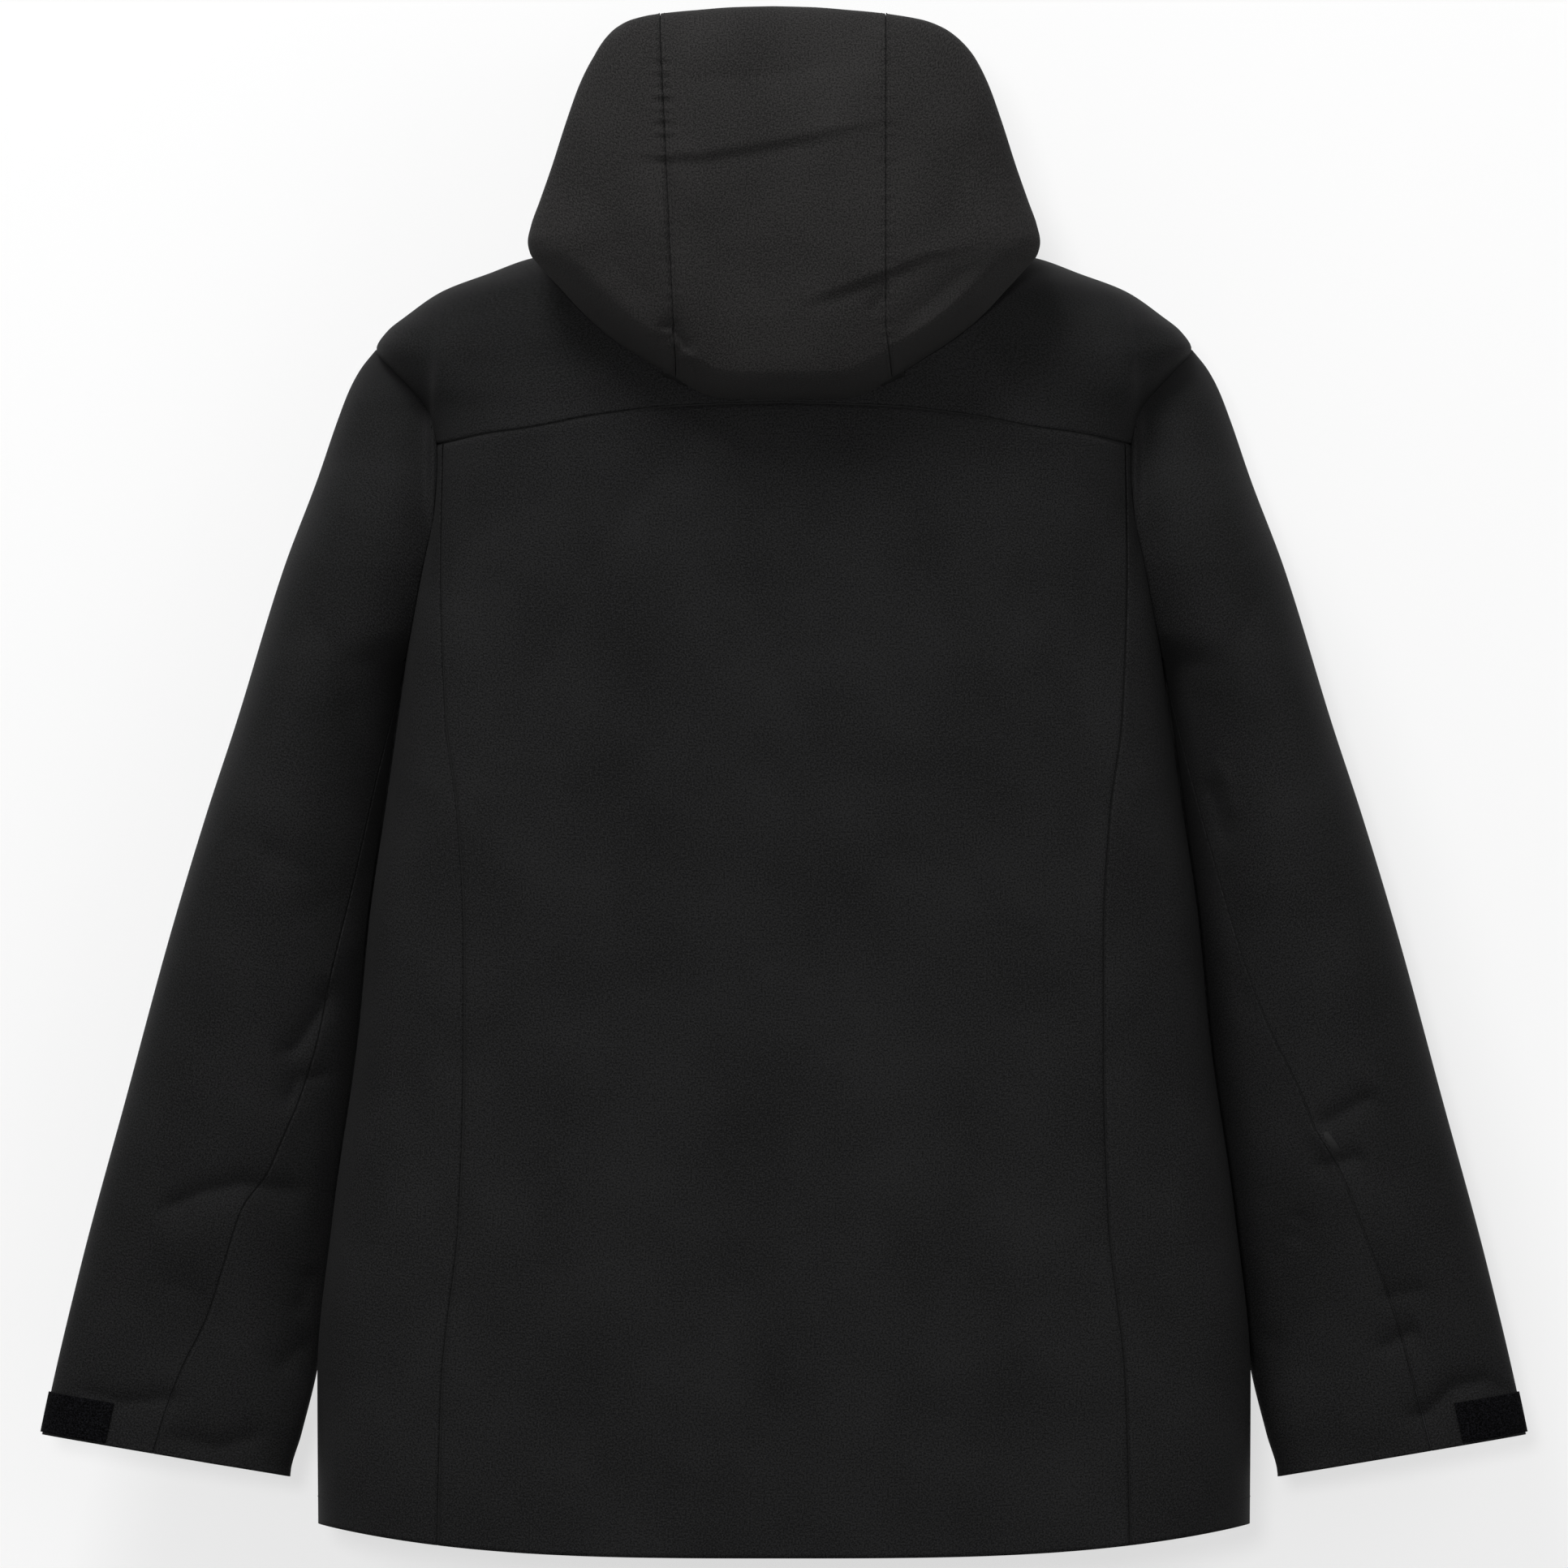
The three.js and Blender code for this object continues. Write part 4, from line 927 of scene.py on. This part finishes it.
pile_height = np.random.default_rng(5)
for hand, mirror in HANDS:
    patch = on_cuff(cuff_turn(400, 1), cuff_turn(400, -1), 1.5, 26, 1.3, 40, 110)
    patch = folded_sleeve(mirror(patch), hand)
    patch[1:-1, 1:-1, 1] -= pile_height.uniform(0, 0.7, patch[1:-1, 1:-1, 1].shape)
    piece = cloth_piece(f"cuff_loop_pile_{hand}", patch, loop_pile, f"sleeve_{hand}", thickness=1.1)
    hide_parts(f"cuff_loop_patch_{hand}")

    facing = on_cuff(math.pi, -math.pi, 0.6, 38, -1.5, 14, 120)
    facing = folded_sleeve(mirror(facing), hand)
    piece = cloth_piece(f"cuff_lining_{hand}", facing, lining, f"sleeve_{hand}", thickness=0.6, closed=True)
    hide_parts(f"cuff_facing_{hand}")

    hooks = on_cuff(cuff_turn(403, -1), cuff_turn(428, -1), 7, 30, 2.3, 12, 14)
    hooks = folded_sleeve(mirror(hooks), hand)
    piece = cloth_piece(f"cuff_hooks_{hand}", hooks, loop_pile, f"tab_{hand}", thickness=0.5)
    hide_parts(f"cuff_hook_patch_{hand}")
    tab = on_cuff(cuff_turn(359, -1), cuff_turn(431, -1), 6, 31, 3.6, 16, 44)
    span = np.linspace(0, 1, 44)[None, :]
    round_end = 1 - np.clip((span - 0.9) / 0.1, 0, 1) ** 2 * 0.35
    middle_line = tab.mean(0, keepdims=True)
    tab = middle_line + (tab - middle_line) * round_end[..., None]
    tab[..., 1] -= 1.5 * (1 - np.clip(span / 0.14, 0, 1))
    tab = folded_sleeve(mirror(tab), hand)
    piece = cloth_piece(f"cuff_tab_cloth_{hand}", tab, shell_cloth, f"tab_{hand}", thickness=1.6)
    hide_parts(f"cuff_tab_{hand}")

# ---- Hood ----
# A helmet-size hood cut in three panels: a centre panel from the brim over the crown and down the back,
# and two side panels. It is turned up over the collar, and its slack hangs down behind.
HOOD_RIM_Y = -58
HOOD_BACK_Y = -92
HOOD_MIDDLE_Y = -28
HOOD_SEAM_X = 64
FACE_Y = 124
FACE_SLOPE = 0.24
HOOD_TOP_Z = 153
HOOD_CENTRE_Z = 40
HOOD_OUTLINE = [
    (0, 153), (22, 152.4), (42, 150.8), (64, 148.6), (84, 145), (95, 140.5), (103, 134.5), (111, 125), (120, 108),
    (128, 86), (137, 58), (144, 38), (149, 24), (151, 14), (149.5, 7), (144, 0), (132, -13), (121, -25), (111, -34.5),
    (98, -45), (84, -54), (64, -66.5), (52, -73.5), (43, -77), (30, -78.6), (0, -79),
]
hood_steps = np.concatenate([[0], np.cumsum(np.hypot(*np.diff(np.array(HOOD_OUTLINE, float), axis=0).T))])
outline_x = smooth_line(*zip(hood_steps, [p[0] for p in HOOD_OUTLINE]))
outline_z = smooth_line(*zip(hood_steps, [p[1] for p in HOOD_OUTLINE]))
trace = np.linspace(0, hood_steps[-1], 2400)
trace_x, trace_z = outline_x(trace), outline_z(trace)
trace_angle = np.arctan2(trace_x, trace_z - HOOD_CENTRE_Z)
hood_share = smooth_line((-58, 1), (-14, 1), (30, 0.995), (80, 0.97), (124, 0.9))
hood_lift = smooth_line((-58, 0), (-48, 0.25), (-36, 0.62), (-14, 0.93), (10, 1))


def hood_reach(x, z):
    angle = np.arctan2(np.abs(x), z - HOOD_CENTRE_Z)
    reach = np.interp(angle, trace_angle, np.hypot(trace_x, trace_z - HOOD_CENTRE_Z))
    return np.clip(np.hypot(x, z - HOOD_CENTRE_Z) / reach, 0, 1)


def hood_cap(x, z):
    y = HOOD_RIM_Y - (HOOD_RIM_Y - HOOD_BACK_Y) * np.sqrt(1 - hood_reach(x, z) ** 2.6)
    return np.stack([x + 0 * z, y, z + 0 * x], -1)


def hood_wall(x, z, y, inset=0.0):
    share = hood_share(y) * (1 - inset / 110)
    rise = z - HOOD_CENTRE_Z
    floor_slope = (HOOD_CENTRE_Z - 13) / (HOOD_CENTRE_Z + 79)
    curled = np.where(rise < 0, rise * (1 + (floor_slope - 1) * hood_lift(y)), rise)
    widest = np.interp(HOOD_CENTRE_Z + curled, trace_z[::-1], trace_x[::-1])
    return np.stack([np.clip(x, -widest, widest) * share, y + 0 * x, HOOD_CENTRE_Z + curled * share], -1)


def face_edge_y(z):
    return FACE_Y - (HOOD_TOP_Z - z) * FACE_SLOPE


HOOD_FOLDS = creases(
    ([(-94, 66), (-49, 66), (3, 75), (41, 83), (70, 86)], -1.3, 3, 9, 0.2),
    ([(-96, 60), (-49, 60), (3, 69), (41, 76)], 1.3, 9, 5, 0.25),
    ([(-80, 108), (-10, 112), (60, 122)], 2.2, 18, 18, 0.3),
    ([(8, -22), (59, -3), (86, 8), (116, 12)], -1.4, 3, 8, 0.2),
    ([(10, -27), (60, -8), (90, 3)], 1.3, 7, 5, 0.25),
    ([(50, -30), (58, -17), (64, -22)], 1.4, 5, 4, 0.25),
    ([(-75, -36), (-66, -36), (-54, -53)], 3.0, 3, 5, 0.2),
    ([(-78, -44), (-68, -44), (-60, -54)], 2.4, 3, 4, 0.2),
    ([(-122, 4), (-96, -20), (-78, -36)], -0.8, 6, 6, 0.3),
    ([(-112, 14), (-88, -10), (-70, -26)], 0.8, 8, 6, 0.3),
    ([(130, 4), (98, -26), (70, -46), (54, -56)], -1.6, 5, 6, 0.25),
    ([(118, 6), (90, -18), (66, -36)], 1.3, 7, 8, 0.3),
    ([(-121, 138), (-103, 138), (-88, 147)], 2.6, 3, 4, 0.3),
    ([(-130, 60), (-104, 30), (-96, -10)], 1.8, 16, 16, 0.3),
    ([(112, 80), (100, 30), (104, 0)], 1.6, 16, 16, 0.3),
    ([(-30, 60), (-10, 20), (-6, -30)], 1.3, 18, 18, 0.3),
)


def pucker(x, z):
    """Small gathers on both sides of the two long hood seams."""
    seam = np.where(x < 0, -64 - 9 * np.clip((z + 60) / 200, 0, 1), 60)
    near = np.exp(-(((x - seam) / 5) ** 2))
    strong = np.where(x < 0, np.clip((z - 55) / 20, 0, 1) * np.clip((130 - z) / 20, 0, 1) + 0.25, 0.35)
    return 0.8 * near * strong * (np.sin(z * 0.86) + 0.6 * np.sin(z * 0.53 + 1.3))


def rolled_under(x, z):
    """The lower rim of the slack cloth rolls under."""
    rim = np.clip((hood_reach(x, z) - 0.865) / 0.135, 0, 1)
    return 32 * rim**1.4 * np.clip((16 - z) / 50, 0, 1)


HOOD_FOLDS += [pucker, rolled_under]


def face_end(z):
    """Where the hood's opening is, for a place on the outline: the outline is smaller there."""
    return face_edge_y(HOOD_CENTRE_Z + (z - HOOD_CENTRE_Z) * np.where(z > HOOD_CENTRE_Z, 0.9, 0.3))


u = eased(76)
across = HOOD_SEAM_X * (2 * u - 1) * 0.9988
top_z = np.interp(np.abs(across), trace_x[trace_z > 60], trace_z[trace_z > 60])
low_z = np.interp(-np.abs(across), -trace_x[trace_z < -60], trace_z[trace_z < -60])
crown = [hood_wall(across, top_z, face_end(top_z) + (HOOD_RIM_Y - face_end(top_z)) * t) for t in np.linspace(0, 1, 52)]
down = [
    hood_cap(across, top_z + (low_z - top_z) * t) for t in (1 - np.cos(np.linspace(0, math.pi, 170)[1:-1])) / 2
]
underside = [hood_wall(across, low_z, HOOD_RIM_Y + (6 - HOOD_RIM_Y) * t) for t in np.linspace(0, 1, 30)]
hood_centre = np.array(crown + down + underside)


def slewed(points):
    """The slack hood is turned a little on the collar, so its seams don't hang quite even."""
    x, y, z = np.moveaxis(points, -1, 0)
    near = np.clip((112 - np.abs(x)) / 42, 0, 1)
    left = 9 * np.clip((z + 60) / 200, 0, 1)
    right = 4 * np.clip((z + 66) / 30, 0, 1)
    mix = np.clip((x + 50) / 100, 0, 1)
    return np.stack([x - near * (left * (1 - mix) + right * mix), y, z], -1)


half_outline = (trace_x > HOOD_SEAM_X * 0.9999) | ((trace_z < 140) & (trace_z > -60))
rows = np.linspace(trace[half_outline][0], trace[half_outline][-1], 180)
rim_x, rim_z = outline_x(rows), outline_z(rows)
seam_x = HOOD_SEAM_X * 1.0012
cap_columns = []
for t in np.sin(np.linspace(0, 1, 48)[:-1] * math.pi / 2):
    cap_columns.append(hood_cap(seam_x + (np.maximum(rim_x, seam_x) - seam_x) * t, rim_z))
end_y = face_end(rim_z)
wall_columns = [hood_wall(rim_x, rim_z, HOOD_RIM_Y + (end_y - HOOD_RIM_Y) * t) for t in np.linspace(0, 1, 64)]
hood_side = np.array(cap_columns + wall_columns).transpose(1, 0, 2)


def neck_plug():
    """The room that the collar takes up in the hood's floor."""
    ring = np.linspace(-math.pi, math.pi, 97)[:-1]
    low = body_point(run_at(30.0) + 0 * ring, ring) * [0.992, 1, 1]
    mesh = bpy.data.meshes.new("neck_plug")
    rings = np.concatenate([low * [1, 1, 0] + [0, 0, z] for z in (-40, 90)]) * MM
    n = len(ring)
    sides = [(i, (i + 1) % n, n + (i + 1) % n, n + i) for i in range(n)]
    mesh.from_pydata(rings.tolist(), [], sides + [tuple(range(n))[::-1], tuple(range(n, 2 * n))])
    mend(mesh, turn_out=True)
    return placed("neck_plug", mesh)


def cut_away(piece, cutter):
    """Takes the room of the cutter out of a finished sheet."""
    cut = piece.modifiers.new("cut", "BOOLEAN")
    cut.operation = "DIFFERENCE"
    cut.solver = "EXACT"
    cut.object = cutter
    bpy.ops.object.select_all(action="DESELECT")
    bpy.context.view_layer.objects.active = piece
    piece.select_set(True)
    for modifier in list(piece.modifiers):
        bpy.ops.object.modifier_apply(modifier=modifier.name)
    piece.select_set(False)


plug = neck_plug()
shape = folded(slewed(hood_centre), HOOD_FOLDS, [], HOOD_MIDDLE_Y)
piece = cloth_piece("hood_centre_cloth", shape, hood_cloth, "torso", turned="we")
cut_away(piece, plug)
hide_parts("hood_centre_panel")
stitched("hood_centre_cloth", [("w", SEAM_STITCHES), ("e", SEAM_STITCHES)], "torso")
cut_away(seam_taped("hood_centre_cloth", "w", "torso"), plug)
cut_away(seam_taped("hood_centre_cloth", "e", "torso", label="_right"), plug)
for hand, mirror in HANDS:
    shape = folded(slewed(mirror(hood_side)), HOOD_FOLDS, [], HOOD_MIDDLE_Y)
    piece = cloth_piece(f"hood_side_cloth_{hand}", shape, hood_cloth, "torso", turned="wsn")
    cut_away(piece, plug)
    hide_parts(f"hood_side_panel_{hand}")
    stitched(f"hood_side_cloth_{hand}", [("w", SEAM_STITCHES), ("e", 12)], "torso")

# A facing stiffens the hood's opening inside, and a short brim is hinged on its top edge.
face_steps = np.linspace(0, trace[trace_z > 0][-1], 80)
face_x = np.concatenate([-outline_x(face_steps[:0:-1]), outline_x(face_steps)])
face_z = np.concatenate([outline_z(face_steps[:0:-1]), outline_z(face_steps)])
facing = [hood_wall(face_x, face_z, face_end(face_z) - back, 1.7) for back in np.linspace(26, 0.5, 9)]
piece = cloth_piece("hood_facing_cloth", np.array(facing), lining, "torso", thickness=0.8)
cut_away(piece, plug)
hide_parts("hood_face_facing")
bpy.data.objects.remove(plug)

BRIM_DIP = math.radians(12)
BRIM_DEPTH = 34
u = np.linspace(-1, 1, 61)[None, :]
v = np.linspace(0, 1, 14)[:, None]
out_along = v * BRIM_DEPTH * (1 - 0.62 * np.abs(u) ** 2.6)
brim_y = 121.9 + out_along * math.cos(BRIM_DIP)
brim_z = 141 - 3.2 * u**2 - out_along * math.sin(BRIM_DIP)
brim = np.stack([HOOD_SEAM_X * u * (1 - 0.1 * v**2), brim_y, brim_z], -1)
piece = cloth_piece("hood_brim_cloth", brim, hood_cloth, "brim", thickness=2.4)
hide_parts("hood_brim")
stitched("hood_brim_cloth", [("n", 5), ("n", 12)], "brim")

# ---- Hem, front opening and hardware ----
# Inside the hem runs a facing for the drawcord's tunnel. The zips, sliders, stops, tapes and the neck
# loop keep their shapes, and get their finishes here.
v = np.linspace(0, 1, 12)[:, None]
u = np.linspace(-1, 1, 260)[None, :]
turn = u * (math.pi - 0.06) + 0 * v
r = run_at(np.full_like(turn, HEM_Z))
for _ in range(5):
    low = hem_edge(body_point(r, turn)[..., 0])
    r = run_at(low + 0.6 + 32 * v)
hem = folded_body(body_point(r, turn))
hem = hem - 1.7 * outward(hem, np.array([0, MIDDLE_Y, HEM_Z]))
piece = cloth_piece("hem_facing_cloth", hem, lining, "torso", thickness=0.5)
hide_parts("hem_facing")

finish = {
    "zip_tape": woven_tape, "zip_coil": zip_teeth, "pocket_zip": zip_teeth, "main_puller": moulded_rubber,
    "pocket_puller": moulded_rubber, "neck_loop": woven_tape, "storm_flap": woven_tape, "pocket_bag": woven_tape,
    "zip_top_stop": black_metal, "zip_retaining_box": black_metal, "main_slider": black_metal,
    "pocket_slider": black_metal, "hem_eyelet": black_metal,
}
for name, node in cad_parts.items():
    kind = name.removesuffix("_left").removesuffix("_right")
    if kind in finish:
        node.data.materials.clear()
        node.data.materials.append(finish[kind])

# The pocket zips lie in slots cut in the fronts.
for hand, sign in (("right", 1), ("left", -1)):
    bpy.ops.mesh.primitive_cube_add(size=1)
    cutter = bpy.context.object
    lean = math.atan2(34, 183)
    cutter.data.transform(
        Matrix.Translation((sign * 0.167, 0.15, -0.4965))
        @ Matrix.Rotation(-sign * lean, 4, "Y")
        @ Matrix.Diagonal((0.011, 0.12, 0.186, 1))
    )
    cut_away(cloths[f"front_panel_cloth_{hand}"][0], cutter)
    bpy.data.objects.remove(cutter)

# ---- End ----
HANGS_FROM = {
    "back_panel": "back_yoke_cloth", "side_panel": "back_yoke_cloth", "front_panel": "front_yoke_cloth_{hand}",
    "back_yoke": "collar_cloth", "front_yoke": "collar_cloth", "collar": "neck_loop", "sleeve": "back_yoke_cloth",
    "hood": "collar_cloth", "hem": "back_panel_cloth", "cuff": "sleeve_back_cloth_{hand}",
}
for name, (piece, points, normal, flat, area) in cloths.items():
    hand = "left" if name.endswith("left") else "right"
    holder = next(h for start, h in HANGS_FROM.items() if name.startswith(start)).format(hand=hand)
